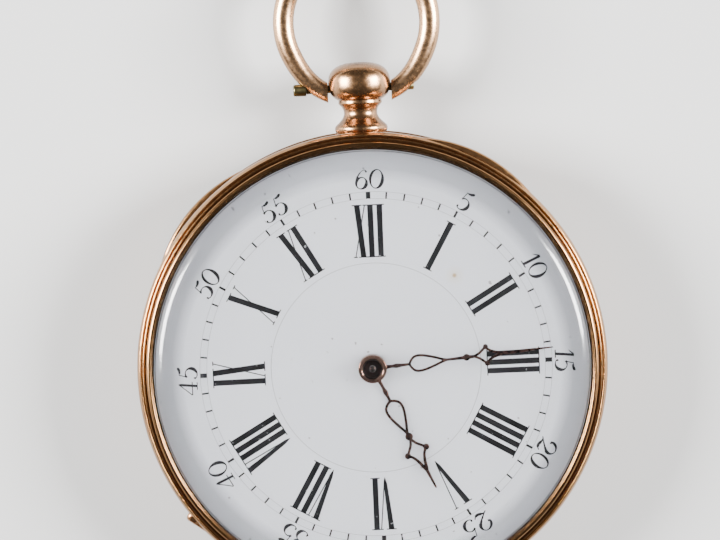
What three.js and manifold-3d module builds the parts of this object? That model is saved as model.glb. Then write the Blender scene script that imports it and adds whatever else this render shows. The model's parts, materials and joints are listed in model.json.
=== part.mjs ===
// Open face pocket watch, key wound and key set, lying on its back.
// Millimetres. +Z is the dial side, +Y is 12 o'clock, and the origin is the centre of the flat back.
import * as THREE from 'three';
import { mergeVertices } from 'three/addons/utils/BufferGeometryUtils.js';
import Module from 'manifold-3d';

const wasm = await Module();
wasm.setup();

const FACETS = 48;          // sides of every large round part of the case, all in one phase
const MERGE = 1e-4;

// Case.
const CASE_R = 22.5;
const BAND_R = 22.35;
const BAND_BOTTOM = 2.5;
const BAND_TOP = 7.3;
const BORE_R = 20.4;
const LEDGE_R = 19.7;
const BEZEL_WALL_R = 21.4;
const BEZEL_OPENING_R = 21.0;
const BEZEL_TOP = 9.2;
const BACK_FLAT_R = 14;
const LIP_R = 14.5;         // the thumb lips are parts of this smaller round

// Hinges: the angle of each hinge is a clock angle, seen from the dial.
const HINGE_R = 21.5;
const BEZEL_HINGE_CLOCK = 216;
const BEZEL_HINGE_Z = 7.3;
const BACK_HINGE_CLOCK = 132;
const BACK_HINGE_Z = 2.5;
const HINGE_GAP = 0.05;
const PIN_R = 0.2;
const PIN_HOLE_R = 0.28;

// Pendant and bow.
const PENDANT_Z = 4.9;
const PIVOT_Y = 26.67;
const BALL_R = 3.0;
const BALL_Y = 27.15;
const BALL_HALF = 1.98;
const BALL_FULLNESS = 0.77; // under 1 the ball is squarer than an ellipse
const BOW_Y = 32.95;
const BOW_R = 7;
const BOW_WIRE_R = 1;
const BOW_LEG_OUT = 0.3;    // how far the legs stray outside the circle at their ends
const BOW_LEG_THIN = 0.12;  // and how much thinner the wire is there
const BOW_CHEEK_X = 3.05;
const SCREW_HOLE_R = 0.5;
const SCREW_R = 0.4;
const SCREW_SEAT_R = 0.68;
const SCREW_HEAD_X = -5.05;

// Dial and hands.
const DIAL_R = 20.8;
const DIAL_BOTTOM = 7.55;
const DIAL_TOP = 8.0;
const HOUR_HAND_Z = 8.3;
const MINUTE_HAND_Z = 8.85;
const HAND_THICK = 0.16;
const HOUR_CLOCK = 154.7;
const MINUTE_CLOCK = 85.8;

// Movement levels.
const PLATE_R = 20.2;
const PLATE_Z = [5.4, 6.6];
const BRIDGE_Z = [2.75, 3.4];
const PILLAR_TOP = 5.38;

// Gearing: teeth and modules.
const BARREL = { teeth: 60, module: 0.28 };
const CENTRE_LEAVES = 10;
const CENTRE = { teeth: 64, module: 0.19 };
const THIRD_LEAVES = 8;
const THIRD = { teeth: 60, module: 0.17 };
const FOURTH_LEAVES = 8;
const FOURTH = { teeth: 60, module: 0.15 };
const ESCAPE_LEAVES = 6;
const CANNON_LEAVES = 12;
const MINUTE_TEETH = 36;
const CANNON_MODULE = 0.13;
const MINUTE_LEAVES = 10;
const HOUR_TEETH = 40;
const HOUR_MODULE = 0.1248;

// Where the arbors stand, as distances and directions from one another.
const polar = (length, degrees) => [
  length * Math.cos((degrees * Math.PI) / 180),
  length * Math.sin((degrees * Math.PI) / 180),
];
const plus = (a, b) => [a[0] + b[0], a[1] + b[1]];
const reach = (gear, leaves) => (gear.module * (gear.teeth + leaves)) / 2;
const CENTRE_AT = [0, 0];
const BARREL_AT = polar(reach(BARREL, CENTRE_LEAVES), 60);
const THIRD_AT = polar(reach(CENTRE, THIRD_LEAVES), 190);
const FOURTH_AT = plus(THIRD_AT, polar(reach(THIRD, FOURTH_LEAVES), 280));
const ESCAPE_AT = plus(FOURTH_AT, polar(reach(FOURTH, ESCAPE_LEAVES), -20));
const BALANCE_AT = plus(ESCAPE_AT, polar(4.05, -35));
const MINUTE_AT = polar((CANNON_MODULE * (CANNON_LEAVES + MINUTE_TEETH)) / 2, -60);
const CLICK_AT = plus(BARREL_AT, polar(4.3, 140));

// Finishes.
const finish = (color, roughness, metalness) => ({ color, roughness, metalness });
const GOLD = finish(0xc08a62, 0.28, 1);
const GILT = finish(0xcba45c, 0.38, 1);
const BRASS = finish(0xc9a55a, 0.32, 1);
const STEEL = finish(0xb9bcc2, 0.25, 1);
const BLUED = finish(0x24345c, 0.3, 1);
const ENAMEL = finish(0xd8dade, 0.15, 0);
const COPPER = finish(0xb0704a, 0.4, 1);
const GLASS = finish(0xf4f8fa, 0.03, 0);

const watch = new THREE.Group();

// ---- solids ----

// A welded mesh without empty triangles, wound so that its faces point out.
function welded(geometry) {
  const bare = geometry.clone();
  bare.deleteAttribute('normal');
  bare.deleteAttribute('uv');
  const joined = mergeVertices(bare, MERGE);
  const place = joined.attributes.position;
  const index = Array.from(joined.index.array);
  const kept = [];
  let volume = 0;
  const corner = [new THREE.Vector3(), new THREE.Vector3(), new THREE.Vector3()];
  for (let i = 0; i < index.length; i += 3) {
    const [a, b, c] = index.slice(i, i + 3);
    if (a === b || b === c || a === c) continue;
    kept.push(a, b, c);
    [a, b, c].forEach((n, k) => corner[k].fromBufferAttribute(place, n));
    volume += corner[0].dot(corner[1].clone().cross(corner[2]));
  }
  if (volume < 0) {
    for (let i = 0; i < kept.length; i += 3) {
      [kept[i + 1], kept[i + 2]] = [kept[i + 2], kept[i + 1]];
    }
  }
  joined.setIndex(kept);
  return joined;
}

function solid(geometry) {
  const mesh = welded(geometry);
  return new wasm.Manifold(new wasm.Mesh({
    numProp: 3,
    vertProperties: new Float32Array(mesh.attributes.position.array),
    triVerts: new Uint32Array(mesh.index.array),
  }));
}

function geometryOf(manifold) {
  const mesh = manifold.getMesh();
  const geometry = new THREE.BufferGeometry();
  geometry.setAttribute('position', new THREE.BufferAttribute(new Float32Array(mesh.vertProperties), 3));
  geometry.setIndex(new THREE.BufferAttribute(new Uint32Array(mesh.triVerts), 1));
  const flat = geometry.toNonIndexed();
  flat.computeVertexNormals();
  return flat;
}

function add(name, manifold, look) {
  const material = new THREE.MeshStandardMaterial(look);
  material.name = name;
  const mesh = new THREE.Mesh(geometryOf(manifold), material);
  mesh.name = name;
  watch.add(mesh);
}

// A turned solid about the Z axis. The outline is [radius, z] pairs that end on the axis or close up.
function turned(outline, facets = FACETS) {
  const points = outline.map(([r, z]) => new THREE.Vector2(r, z));
  const onAxis = outline[0][0] === 0 && outline[outline.length - 1][0] === 0;
  if (!onAxis) points.push(points[0].clone());
  const geometry = new THREE.LatheGeometry(points, facets);
  geometry.rotateX(Math.PI / 2);
  return solid(geometry);
}

function disc(radius, low, high, at = CENTRE_AT, facets = 12) {
  return turned([[0, low], [radius, low], [radius, high], [0, high]], facets).translate([...at, 0]);
}

function tube(outer, inner, low, high, at = CENTRE_AT, facets = 12) {
  const outline = [[inner, low], [outer, low], [outer, high], [inner, high]];
  return turned(outline, facets).translate([...at, 0]);
}

function slab(outline, low, high, holes = []) {
  const shape = new THREE.Shape(outline.map(([x, y]) => new THREE.Vector2(x, y)));
  holes.forEach((hole) => shape.holes.push(new THREE.Path(hole.map(([x, y]) => new THREE.Vector2(x, y)))));
  const geometry = new THREE.ExtrudeGeometry(shape, { depth: high - low, bevelEnabled: false });
  geometry.translate(0, 0, low);
  return solid(geometry);
}

function box(x, y, z) {
  const geometry = new THREE.BoxGeometry(x[1] - x[0], y[1] - y[0], z[1] - z[0]);
  geometry.translate((x[0] + x[1]) / 2, (y[0] + y[1]) / 2, (z[0] + z[1]) / 2);
  return solid(geometry);
}

function union(pieces) {
  return pieces.reduce((all, piece) => all.add(piece));
}

function less(body, pieces) {
  return pieces.reduce((rest, piece) => rest.subtract(piece), body);
}

function arc(at, radius, fromDegrees, toDegrees, steps) {
  const points = [];
  for (let i = 0; i <= steps; i += 1) {
    points.push(plus(at, polar(radius, fromDegrees + ((toDegrees - fromDegrees) * i) / steps)));
  }
  return points;
}

// A bar with round ends between two points, with its own radius at each end.
function bar(from, fromR, to, toR, low, high, steps = 5) {
  const heading = (Math.atan2(to[1] - from[1], to[0] - from[0]) * 180) / Math.PI;
  const outline = [
    ...arc(to, toR, heading - 90, heading + 90, steps),
    ...arc(from, fromR, heading + 90, heading + 270, steps),
  ];
  return slab(outline, low, high);
}

// ---- hinges ----

// A hinge's own axes: u points out from the watch, v along the pin.
function atHinge(manifold, clock) {
  return manifold.rotate([0, 0, 90 - clock]);
}

function alongV(radius, from, to, u, z, facets = 12) {
  const piece = turned([[0, from], [radius, from], [radius, to], [0, to]], facets);
  return piece.rotate([-90, 0, 0]).translate([u, 0, z]);
}

function pair(make, from, to) {
  return make(from, to).add(make(-to, -from));
}

function knuckles(radius, z, from, to) {
  return pair((a, b) => alongV(radius, a, b, HINGE_R, z), from, to);
}

const pinHole = (z) => alongV(PIN_HOLE_R, -12, 12, HINGE_R, z, 8);

const BEZEL_KNUCKLE_R = 0.6;
const BEZEL_CENTRE_V = 2.35;
const BEZEL_END_V = 7.0;
const BACK_KNUCKLE_R = 0.55;
const BACK_CENTRE_V = 1.2;
const CUVETTE_END_V = 3.2;
const BACK_END_V = 6.0;

// The thumb lip: part of a smaller round that stands out past the case.
function lip(clock, overhang, low, high, facets = 56) {
  const away = CASE_R + overhang - LIP_R;
  const [x, y] = polar(away, 90 - clock);
  const round = turned([
    [0, low], [LIP_R - 0.2, low], [LIP_R, (low + high) / 2], [LIP_R - 0.2, high], [0, high],
  ], facets);
  return round.translate([x, y, 0]).subtract(disc(CASE_R - 0.5, low - 1, high + 1, CENTRE_AT, FACETS));
}

// ---- case ----

const bandOutside = [
  [21.75, BAND_BOTTOM], [22.2, 3.3], [BAND_R, 4.9], [22.2, 6.5], [21.85, BAND_TOP],
];

function caseMiddle() {
  const body = turned([
    [BORE_R, BAND_BOTTOM], ...bandOutside, [21.3, BAND_TOP], [21.3, 7.75], [21.0, 7.75],
    [21.0, BAND_TOP - 0.1], [BORE_R, BAND_TOP - 0.1], [BORE_R, 5.35], [LEDGE_R, 5.35], [LEDGE_R, 3.6],
    [BORE_R, 3.3],
  ]);
  const bezelCuts = less(
    box([20.8, 24], [-BEZEL_END_V - HINGE_GAP, BEZEL_END_V + HINGE_GAP], [6.63, 9])
      .add(box([22, 24], [-BEZEL_END_V, BEZEL_END_V], [4.6, 9])),
    [box([20, 21.95], [-BEZEL_CENTRE_V, BEZEL_CENTRE_V], [6, BEZEL_HINGE_Z])],
  );
  const backCuts = less(
    alongV(0.95, -6.7, 6.7, HINGE_R, BACK_HINGE_Z, 16)
      .add(box([22.03, 24], [-6.7, 6.7], [2, 4.0])),
    [box([20, 21.95], [-BACK_CENTRE_V, BACK_CENTRE_V], [BACK_HINGE_Z, 4])],
  );
  const bezelKnuckle = alongV(BEZEL_KNUCKLE_R, -BEZEL_CENTRE_V, BEZEL_CENTRE_V, HINGE_R, BEZEL_HINGE_Z);
  const backKnuckle = alongV(BACK_KNUCKLE_R, -BACK_CENTRE_V, BACK_CENTRE_V, HINGE_R, BACK_HINGE_Z);
  const cut = less(body, [atHinge(bezelCuts, BEZEL_HINGE_CLOCK), atHinge(backCuts, BACK_HINGE_CLOCK)]);
  const bore = turned([[0, 19], [1.3, 19], [1.3, 24], [0, 24]], 16).rotate([-90, 0, 0]);
  return less(union([
    cut, atHinge(bezelKnuckle, BEZEL_HINGE_CLOCK), atHinge(backKnuckle, BACK_HINGE_CLOCK),
  ]), [
    atHinge(pinHole(BEZEL_HINGE_Z), BEZEL_HINGE_CLOCK),
    atHinge(pinHole(BACK_HINGE_Z), BACK_HINGE_CLOCK),
    bore.translate([0, 0, PENDANT_Z]),
  ]);
}

function bezel() {
  const ring = turned([
    [BEZEL_WALL_R, 7.35], [22.3, 7.35], [CASE_R, 7.75], [22.44, 8.2], [22.22, 8.62], [22.08, 8.68],
    [21.97, 8.52], [21.84, 8.74], [21.74, 8.74], [21.67, 8.66], [21.58, 8.95], [21.38, BEZEL_TOP],
    [21.2, BEZEL_TOP], [BEZEL_OPENING_R, 8.98], [BEZEL_OPENING_R, 8.8], [BEZEL_WALL_R, 8.8],
  ]);
  const clear = box([20.8, 24], [-BEZEL_END_V - HINGE_GAP, BEZEL_END_V + HINGE_GAP], [6, 7.97]);
  const web = pair((a, b) => box([21.05, 21.95], [a, b], [BEZEL_HINGE_Z, 8.1]), 2.45, BEZEL_END_V);
  const hinge = knuckles(BEZEL_KNUCKLE_R, BEZEL_HINGE_Z, 2.45, BEZEL_END_V).add(web);
  const body = ring.subtract(atHinge(clear, BEZEL_HINGE_CLOCK)).add(lip(30, 0.45, 7.4, 8.3));
  return body.add(atHinge(hinge, BEZEL_HINGE_CLOCK))
    .subtract(atHinge(pinHole(BEZEL_HINGE_Z), BEZEL_HINGE_CLOCK));
}

function crystal() {
  return turned([
    [0, 10.3], [9, 10.05], [15, 9.62], [19.2, 9.12], [20.2, 8.5], [20.5, 8.38], [21.32, 8.36], [21.32, 8.74],
    [20.85, 8.78], [20.55, 9.3], [20.2, 9.58], [19.6, 9.76], [15, 10.27], [9, 10.68], [0, 10.92],
  ]);
}

function backCover() {
  const dish = turned([
    [0, 0], [BACK_FLAT_R, 0], [18.3, 0.3], [21, 1.05], [22.2, 1.75], [CASE_R, 2.3], [22.35, 2.45],
    [20.9, 2.45], [20.9, 1.65], [19, 0.95], [BACK_FLAT_R, 0.5], [0, 0.5],
  ]);
  const clear = box([22.1, 24], [-BACK_END_V, BACK_END_V], [-1, 4])
    .add(box([20.4, 24], [-CUVETTE_END_V - HINGE_GAP, CUVETTE_END_V + HINGE_GAP], [1.88, 4]));
  const hinge = knuckles(BACK_KNUCKLE_R, BACK_HINGE_Z, CUVETTE_END_V + HINGE_GAP, BACK_END_V);
  return dish.subtract(atHinge(clear, BACK_HINGE_CLOCK))
    .add(lip(-48, 0.8, 1.4, 2.3))
    .add(atHinge(hinge, BACK_HINGE_CLOCK))
    .subtract(atHinge(pinHole(BACK_HINGE_Z), BACK_HINGE_CLOCK));
}

const CUVETTE_Z = [1.5, 1.85];

function cuvette() {
  const tray = turned([
    [0, CUVETTE_Z[0]], [20.2, CUVETTE_Z[0]], [20.2, 2.9], [19.95, 2.9], [19.95, CUVETTE_Z[1]],
    [0, CUVETTE_Z[1]],
  ]);
  const web = pair((a, b) => box([20, 21.3], [a, b], [1.95, 2.3]), BACK_CENTRE_V + HINGE_GAP, CUVETTE_END_V);
  const hinge = knuckles(BACK_KNUCKLE_R, BACK_HINGE_Z, BACK_CENTRE_V + HINGE_GAP, CUVETTE_END_V).add(web);
  return less(tray.add(atHinge(hinge, BACK_HINGE_CLOCK)), [
    atHinge(pinHole(BACK_HINGE_Z), BACK_HINGE_CLOCK),
    disc(1.3, 1, 2.5, CENTRE_AT, 20),
    disc(1.5, 1, 2.5, BARREL_AT, 20),
  ]);
}

add('case_middle', caseMiddle(), GOLD);
add('bezel', bezel(), GOLD);
add('crystal', crystal(), GLASS);
add('back_cover', backCover(), GOLD);
add('cuvette', cuvette(), GOLD);

const hingePin = (half, z, clock) => atHinge(alongV(PIN_R, -half, half, HINGE_R, z, 8), clock);
add('bezel_hinge_pin', hingePin(BEZEL_END_V - HINGE_GAP, BEZEL_HINGE_Z, BEZEL_HINGE_CLOCK), BRASS);
add('back_hinge_pin', hingePin(BACK_END_V - HINGE_GAP, BACK_HINGE_Z, BACK_HINGE_CLOCK), BRASS);

// ---- pendant, bow and bow screw ----

// The outline of the ball from just above its flange to its top, as a superellipse.
function ballOutline() {
  const steps = 8;
  const from = -0.89;
  const points = [];
  for (let i = 0; i < steps; i += 1) {
    const angle = from + ((Math.PI / 2 - from) * i) / steps;
    const rise = Math.sign(angle) * Math.abs(Math.sin(angle)) ** BALL_FULLNESS;
    points.push([BALL_R * Math.cos(angle) ** BALL_FULLNESS, BALL_Y + BALL_HALF * rise]);
  }
  return [...points, [0, BALL_Y + BALL_HALF]];
}

function pendant() {
  const outline = [
    [0, 20.9], [1.2, 20.9], [1.2, 21.7], [2.1, 21.7], [2.2, 22.2], [2.5, 22.6], [2.5, 22.95],
    [2.05, 23.5], [1.64, 24.0], [1.64, 24.6], [2.05, 25.15],
    ...ballOutline(),
  ];
  const body = turned(outline, 22).rotate([-90, 0, 0]).translate([0, 0, PENDANT_Z]);
  const saddle = turned([[LEDGE_R, 2.4], ...bandOutside.map(([r, z]) => [r + 0.04, z]), [LEDGE_R, 7.5]]);
  const spigot = turned([[0, 20], [1.22, 20], [1.22, 24], [0, 24]], 22).rotate([-90, 0, 0]);
  const cross = disc(SCREW_HOLE_R, -5, 5, CENTRE_AT, 14).rotate([0, 90, 0])
    .translate([0, PIVOT_Y, PENDANT_Z]);
  return less(body, [saddle.subtract(spigot.translate([0, 0, PENDANT_Z])), cross]);
}

// The bow's wire: rings of points round its path, closed by a fan at each end.
function bowWire() {
  const steps = 38;
  const sides = 12;
  const points = [];
  const faces = [];
  for (let i = 0; i <= steps; i += 1) {
    const degrees = -70 + (320 * i) / steps;
    const nearEnd = Math.min(Math.max((Math.abs(degrees - 90) - 112) / 42, 0), 1);
    const ease = nearEnd * nearEnd * (3 - 2 * nearEnd);
    const wireR = BOW_WIRE_R - BOW_LEG_THIN * ease;
    const pathR = BOW_R + BOW_LEG_OUT * ease;
    for (let k = 0; k < sides; k += 1) {
      const [out, up] = polar(wireR, (360 * k) / sides);
      const [x, y] = polar(pathR + out, degrees);
      points.push(x, BOW_Y + y, PENDANT_Z + up);
    }
  }
  for (let i = 0; i < steps; i += 1) {
    for (let k = 0; k < sides; k += 1) {
      const [a, b] = [i * sides + k, i * sides + ((k + 1) % sides)];
      faces.push(a, a + sides, b, b, a + sides, b + sides);
    }
  }
  const last = steps * sides;
  for (let k = 1; k < sides - 1; k += 1) {
    faces.push(0, k, k + 1, last, last + k + 1, last + k);
  }
  const geometry = new THREE.BufferGeometry();
  geometry.setAttribute('position', new THREE.BufferAttribute(new Float32Array(points), 3));
  geometry.setIndex(faces);
  return solid(geometry);
}

function bow() {
  const wire = bowWire();
  const between = box([-BOW_CHEEK_X, BOW_CHEEK_X], [20, 30], [0, 10]);
  const hole = disc(SCREW_HOLE_R, -10, 10, CENTRE_AT, 12).add(disc(SCREW_SEAT_R, -10, SCREW_HEAD_X));
  return less(wire, [between, hole.rotate([0, 90, 0]).translate([0, PIVOT_Y, PENDANT_Z])]);
}

function bowScrew() {
  const headR = 0.575;
  const body = turned([
    [0, -6.35], [headR - 0.12, -6.35], [headR, -6.25], [headR, SCREW_HEAD_X - 0.03],
    [SCREW_R, SCREW_HEAD_X - 0.03], [SCREW_R, 5.15], [SCREW_R - 0.1, 5.24], [0, 5.24],
  ], 14);
  const slot = box([-1, 1], [-0.1, 0.1], [-7, -6.1]);
  return body.subtract(slot).rotate([0, 90, 0]).translate([0, PIVOT_Y, PENDANT_Z]);
}

add('pendant', pendant(), GOLD);
add('bow', bow(), GOLD);
add('bow_screw', bowScrew(), BRASS);

// ---- dial ----

function dialEnamel() {
  return turned([
    [1.2, DIAL_BOTTOM], [DIAL_R, DIAL_BOTTOM], [DIAL_R, 7.85], [1.2, DIAL_TOP],
  ], 48);
}

const DIAL_FEET = [15, 150, 265];
const FOOT_R = 17.4;

function dialCopper() {
  const base = tube(20.6, 1.3, 7.3, DIAL_BOTTOM - 0.03, CENTRE_AT, 48);
  return union([base, ...DIAL_FEET.map((a) => disc(0.35, 5.6, 7.35, polar(FOOT_R, a), 8))]);
}

add('dial_enamel', dialEnamel(), ENAMEL);
add('dial_copper', dialCopper(), COPPER);

// ---- hands ----

// One half of a hand's outline runs up its right side; the other half mirrors it.
function handOutline(side) {
  return [...side, ...side.slice().reverse().filter(([x]) => x > 0).map(([x, y]) => [-x, y])];
}

// The long openwork hand: loop, balls, a diamond with two side balls, then a needle.
function hand(size, z) {
  const wire = size.wire;
  const loopMiddle = (size.loop[0] + size.loop[1]) / 2;
  const outline = handOutline([
    [0.5, 0.9], [0.42, size.swell - 0.5], [0.5, size.swell], [0.3, size.swell + 0.45],
    [0.22, size.loop[0] - 0.1],
    [size.loopWidth / 2 - 0.1, size.loop[0] + 0.25], [size.loopWidth / 2, size.loop[0] + 0.8],
    [size.loopWidth / 2 - 0.2, loopMiddle + 0.3], [0.2, size.loop[1] - 0.1], [size.rod, size.loop[1] + 0.2],
    [size.rod, size.ball - size.ballR - 0.05], [size.ballR, size.ball - 0.1], [size.ballR, size.ball + 0.1],
    [size.rod, size.ball + size.ballR + 0.05], [size.rod, size.diamond[0]],
    [size.side - size.sideR, size.diamond[1] - 0.35], [size.side, size.diamond[1] - size.sideR],
    [size.side + size.sideR, size.diamond[1]], [size.side, size.diamond[1] + size.sideR],
    [size.side - size.sideR, size.diamond[1] + 0.3], [0.2, size.diamond[2]], [0.07, size.tip - 0.1],
    [0, size.tip],
  ]);
  const loopHole = handOutline([
    [0.12, size.loop[0] + wire + 0.05], [size.loopWidth / 2 - wire, size.loop[0] + 0.75],
    [size.loopWidth / 2 - wire - 0.18, loopMiddle + 0.3], [0, size.loop[1] - wire - 0.2],
  ]);
  const inner = size.side - size.sideR - wire + 0.05;
  const diamondHole = handOutline([
    [0, size.diamond[0] + wire + 0.15], [inner, size.diamond[1]], [0, size.diamond[2] - wire - 0.25],
  ]);
  return slab(outline, z, z + HAND_THICK, [loopHole, diamondHole]);
}

const hourSize = {
  swell: 2.6, loop: [3.55, 6.95], loopWidth: 1.8, ball: 7.44, ballR: 0.36, rod: 0.13,
  diamond: [7.9, 9.05, 10.9], side: 0.98, sideR: 0.3, tip: 13.0, wire: 0.2,
};
const minuteSize = {
  swell: 2.2, loop: [3.5, 6.9], loopWidth: 1.65, ball: 9.0, ballR: 0.33, rod: 0.11,
  diamond: [9.8, 10.9, 12.2], side: 0.8, sideR: 0.24, tip: 17.2, wire: 0.17,
};

function hourHand() {
  const collar = tube(1.35, 0.98, HOUR_HAND_Z - 0.1, HOUR_HAND_Z + 0.25, CENTRE_AT, 24);
  const blade = hand(hourSize, HOUR_HAND_Z).subtract(disc(1.1, 8, 9, CENTRE_AT, 24));
  return blade.add(collar).rotate([0, 0, -HOUR_CLOCK]);
}

function minuteHand() {
  const collar = turned([
    [0.6, 8.75], [1.3, 8.75], [1.36, 8.85], [1.36, 9.35], [1.25, 9.5], [1.05, 9.5], [0.97, 9.4], [0.6, 9.12],
  ], 24);
  const blade = hand(minuteSize, MINUTE_HAND_Z).subtract(disc(1.1, 8, 9.8, CENTRE_AT, 24));
  return blade.add(collar).rotate([0, 0, -MINUTE_CLOCK]);
}

add('hour_hand', hourHand(), BLUED);
add('minute_hand', minuteHand(), BLUED);

// ---- gears ----

// The outline of a wheel or pinion, with one tooth at the angle `first`, in degrees.
function toothed(teeth, module, at, first, style) {
  const pitch = 360 / teeth;
  const middle = (teeth * module) / 2;
  const points = [];
  for (let i = 0; i < teeth; i += 1) {
    const angle = first + i * pitch;
    points.push(plus(at, polar(middle + style.tip * module, angle)));
    style.feet.forEach((foot) => {
      points.push(plus(at, polar(middle - style.root * module, angle + foot * pitch)));
    });
  }
  return points;
}

const WHEEL_TOOTH = { root: 1.2, tip: 0.9, feet: [0.5] };
const PIVOT_R = 0.14;
const TRAIN_ARBOR_Z = [2.85, 3.45, 5.35, 6.3];
const LEAF = { root: 1.2, tip: 0.7, feet: [0.25, 0.75] };

// Openings that leave spokes between a hub and a rim.
function crossings(at, inner, outer, spokes, half) {
  const holes = [];
  for (let i = 0; i < spokes; i += 1) {
    const from = (360 * i) / spokes + half[1];
    const to = (360 * (i + 1)) / spokes - half[1];
    const nearFrom = (360 * i) / spokes + half[0];
    const nearTo = (360 * (i + 1)) / spokes - half[0];
    holes.push([...arc(at, outer, from, to, 4), ...arc(at, inner, nearTo, nearFrom, 1)]);
  }
  return holes;
}

function wheel(teeth, module, at, first, z, bore, cross) {
  const holes = [arc(at, bore, 0, 315, 7)];
  if (cross) holes.push(...crossings(at, cross.inner, cross.outer, 4, [22, 6]));
  return slab(toothed(teeth, module, at, first, WHEEL_TOOTH), z[0], z[1], holes);
}

function pinion(leaves, module, at, first, z) {
  return slab(toothed(leaves, module, at, first, LEAF), z[0], z[1]);
}

// An arbor with a pivot at each end: z gives the two ends and the two shoulders between them.
function arbor(at, radius, [low, lowShoulder, highShoulder, high]) {
  return turned([
    [0, low], [PIVOT_R, low], [PIVOT_R, lowShoulder], [radius, lowShoulder], [radius, highShoulder],
    [PIVOT_R, highShoulder], [PIVOT_R, high], [0, high],
  ], 8).translate([...at, 0]);
}

// Phases: each pair has a wheel tooth on the line of centres and a pinion gap facing it.
const heading = (from, to) => (Math.atan2(to[1] - from[1], to[0] - from[0]) * 180) / Math.PI;
const gapFacing = (from, to, leaves) => heading(from, to) + 180 / leaves;

const barrelFirst = heading(BARREL_AT, CENTRE_AT);
const centreLeafFirst = gapFacing(CENTRE_AT, BARREL_AT, CENTRE_LEAVES);
const centreFirst = heading(CENTRE_AT, THIRD_AT);
const thirdLeafFirst = gapFacing(THIRD_AT, CENTRE_AT, THIRD_LEAVES);
const thirdFirst = heading(THIRD_AT, FOURTH_AT);
const fourthLeafFirst = gapFacing(FOURTH_AT, THIRD_AT, FOURTH_LEAVES);
const fourthFirst = heading(FOURTH_AT, ESCAPE_AT);
const escapeLeafFirst = gapFacing(ESCAPE_AT, FOURTH_AT, ESCAPE_LEAVES);
const minuteFirst = heading(MINUTE_AT, CENTRE_AT);
const cannonFirst = gapFacing(CENTRE_AT, MINUTE_AT, CANNON_LEAVES);
const hourFirst = heading(CENTRE_AT, MINUTE_AT);
const minuteLeafFirst = gapFacing(MINUTE_AT, CENTRE_AT, MINUTE_LEAVES);

// Going train.
const GOING_WHEEL_Z = { barrel: [4.35, 4.75], centre: [3.55, 3.8], third: [5.02, 5.2], fourth: [4.35, 4.53] };

function barrelDrum() {
  const drumR = 7.75;
  const teeth = slab(
    toothed(BARREL.teeth, BARREL.module, BARREL_AT, barrelFirst, WHEEL_TOOTH), ...GOING_WHEEL_Z.barrel,
    [arc(BARREL_AT, 7.2, 0, 345, 23)],
  );
  const wall = turned([
    [0.62, 5.95], [0.62, 6.12], [drumR, 6.12], [drumR, 4.5], [7.35, 4.5], [7.35, 5.95],
  ], 36).translate([...BARREL_AT, 0]);
  return teeth.add(wall);
}

function mainspring() {
  return tube(6.9, 4.4, 4.75, 5.85, BARREL_AT, 24);
}

function barrelArbor() {
  const square = slab([[-0.6, -0.6], [0.6, -0.6], [0.6, 0.6], [-0.6, 0.6]], 1.35, 2.35).rotate([0, 0, 20]);
  const body = turned([
    [0, 2.3], [0.8, 2.3], [0.8, 3.6], [0.55, 3.6], [0.55, 4.7], [1.9, 4.7], [1.9, 5.8], [0.55, 5.8],
    [0.55, 6.5], [0, 6.5],
  ], 16);
  return body.add(square).translate([...BARREL_AT, 0]);
}

add('barrel_drum', barrelDrum(), GILT);
add('barrel_cover', tube(7.05, 0.62, 4.38, 4.6, BARREL_AT, 24), GILT);
add('mainspring', mainspring(), BLUED);
add('barrel_arbor', barrelArbor(), STEEL);

function centrePinion() {
  const leaves = pinion(CENTRE_LEAVES, BARREL.module, CENTRE_AT, centreLeafFirst, [4.2, 4.9]);
  const pipe = disc(0.55, 2.6, 6.64, CENTRE_AT, 10);
  return leaves.add(pipe).subtract(disc(0.34, 2, 7, CENTRE_AT, 10));
}

function settingArbor() {
  const square = slab([[-0.5, -0.5], [0.5, -0.5], [0.5, 0.5], [-0.5, 0.5]], 1.35, 2.45);
  return square.add(disc(0.26, 2.4, 9.32, CENTRE_AT, 10));
}

add('centre_pinion', centrePinion(), STEEL);
add('centre_wheel', wheel(
  CENTRE.teeth, CENTRE.module, CENTRE_AT, centreFirst, GOING_WHEEL_Z.centre, 0.6, { inner: 1.5, outer: 5.0 },
), BRASS);
add('third_pinion', pinion(THIRD_LEAVES, CENTRE.module, THIRD_AT, thirdLeafFirst, [3.5, 3.95])
  .add(arbor(THIRD_AT, 0.3, TRAIN_ARBOR_Z)), STEEL);
add('third_wheel', wheel(
  THIRD.teeth, THIRD.module, THIRD_AT, thirdFirst, GOING_WHEEL_Z.third, 0.35, { inner: 1.1, outer: 4.2 },
), BRASS);
add('fourth_pinion', pinion(FOURTH_LEAVES, THIRD.module, FOURTH_AT, fourthLeafFirst, [4.9, 5.33])
  .add(arbor(FOURTH_AT, 0.28, TRAIN_ARBOR_Z)), STEEL);
add('fourth_wheel', wheel(
  FOURTH.teeth, FOURTH.module, FOURTH_AT, fourthFirst, GOING_WHEEL_Z.fourth, 0.33, { inner: 1.0, outer: 3.7 },
), BRASS);
add('escape_pinion', pinion(ESCAPE_LEAVES, FOURTH.module, ESCAPE_AT, escapeLeafFirst, [4.22, 4.66])
  .add(arbor(ESCAPE_AT, 0.2, [3.57, 3.87, 5.35, 6.2])), STEEL);

function escapeWheel() {
  const teeth = 15;
  const outline = [];
  for (let i = 0; i < teeth; i += 1) {
    const angle = (360 * i) / teeth;
    outline.push(plus(ESCAPE_AT, polar(2.5, angle)), plus(ESCAPE_AT, polar(3.3, angle + 10)));
    outline.push(plus(ESCAPE_AT, polar(3.15, angle + 13)), plus(ESCAPE_AT, polar(2.5, angle + 9)));
  }
  const holes = [arc(ESCAPE_AT, 0.25, 0, 315, 7), ...crossings(ESCAPE_AT, 0.75, 2.1, 3, [24, 8])];
  return slab(outline, 3.95, 4.12, holes);
}

add('escape_wheel', escapeWheel(), STEEL);

// Motion work under the dial.
add('setting_arbor', settingArbor(), STEEL);

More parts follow.
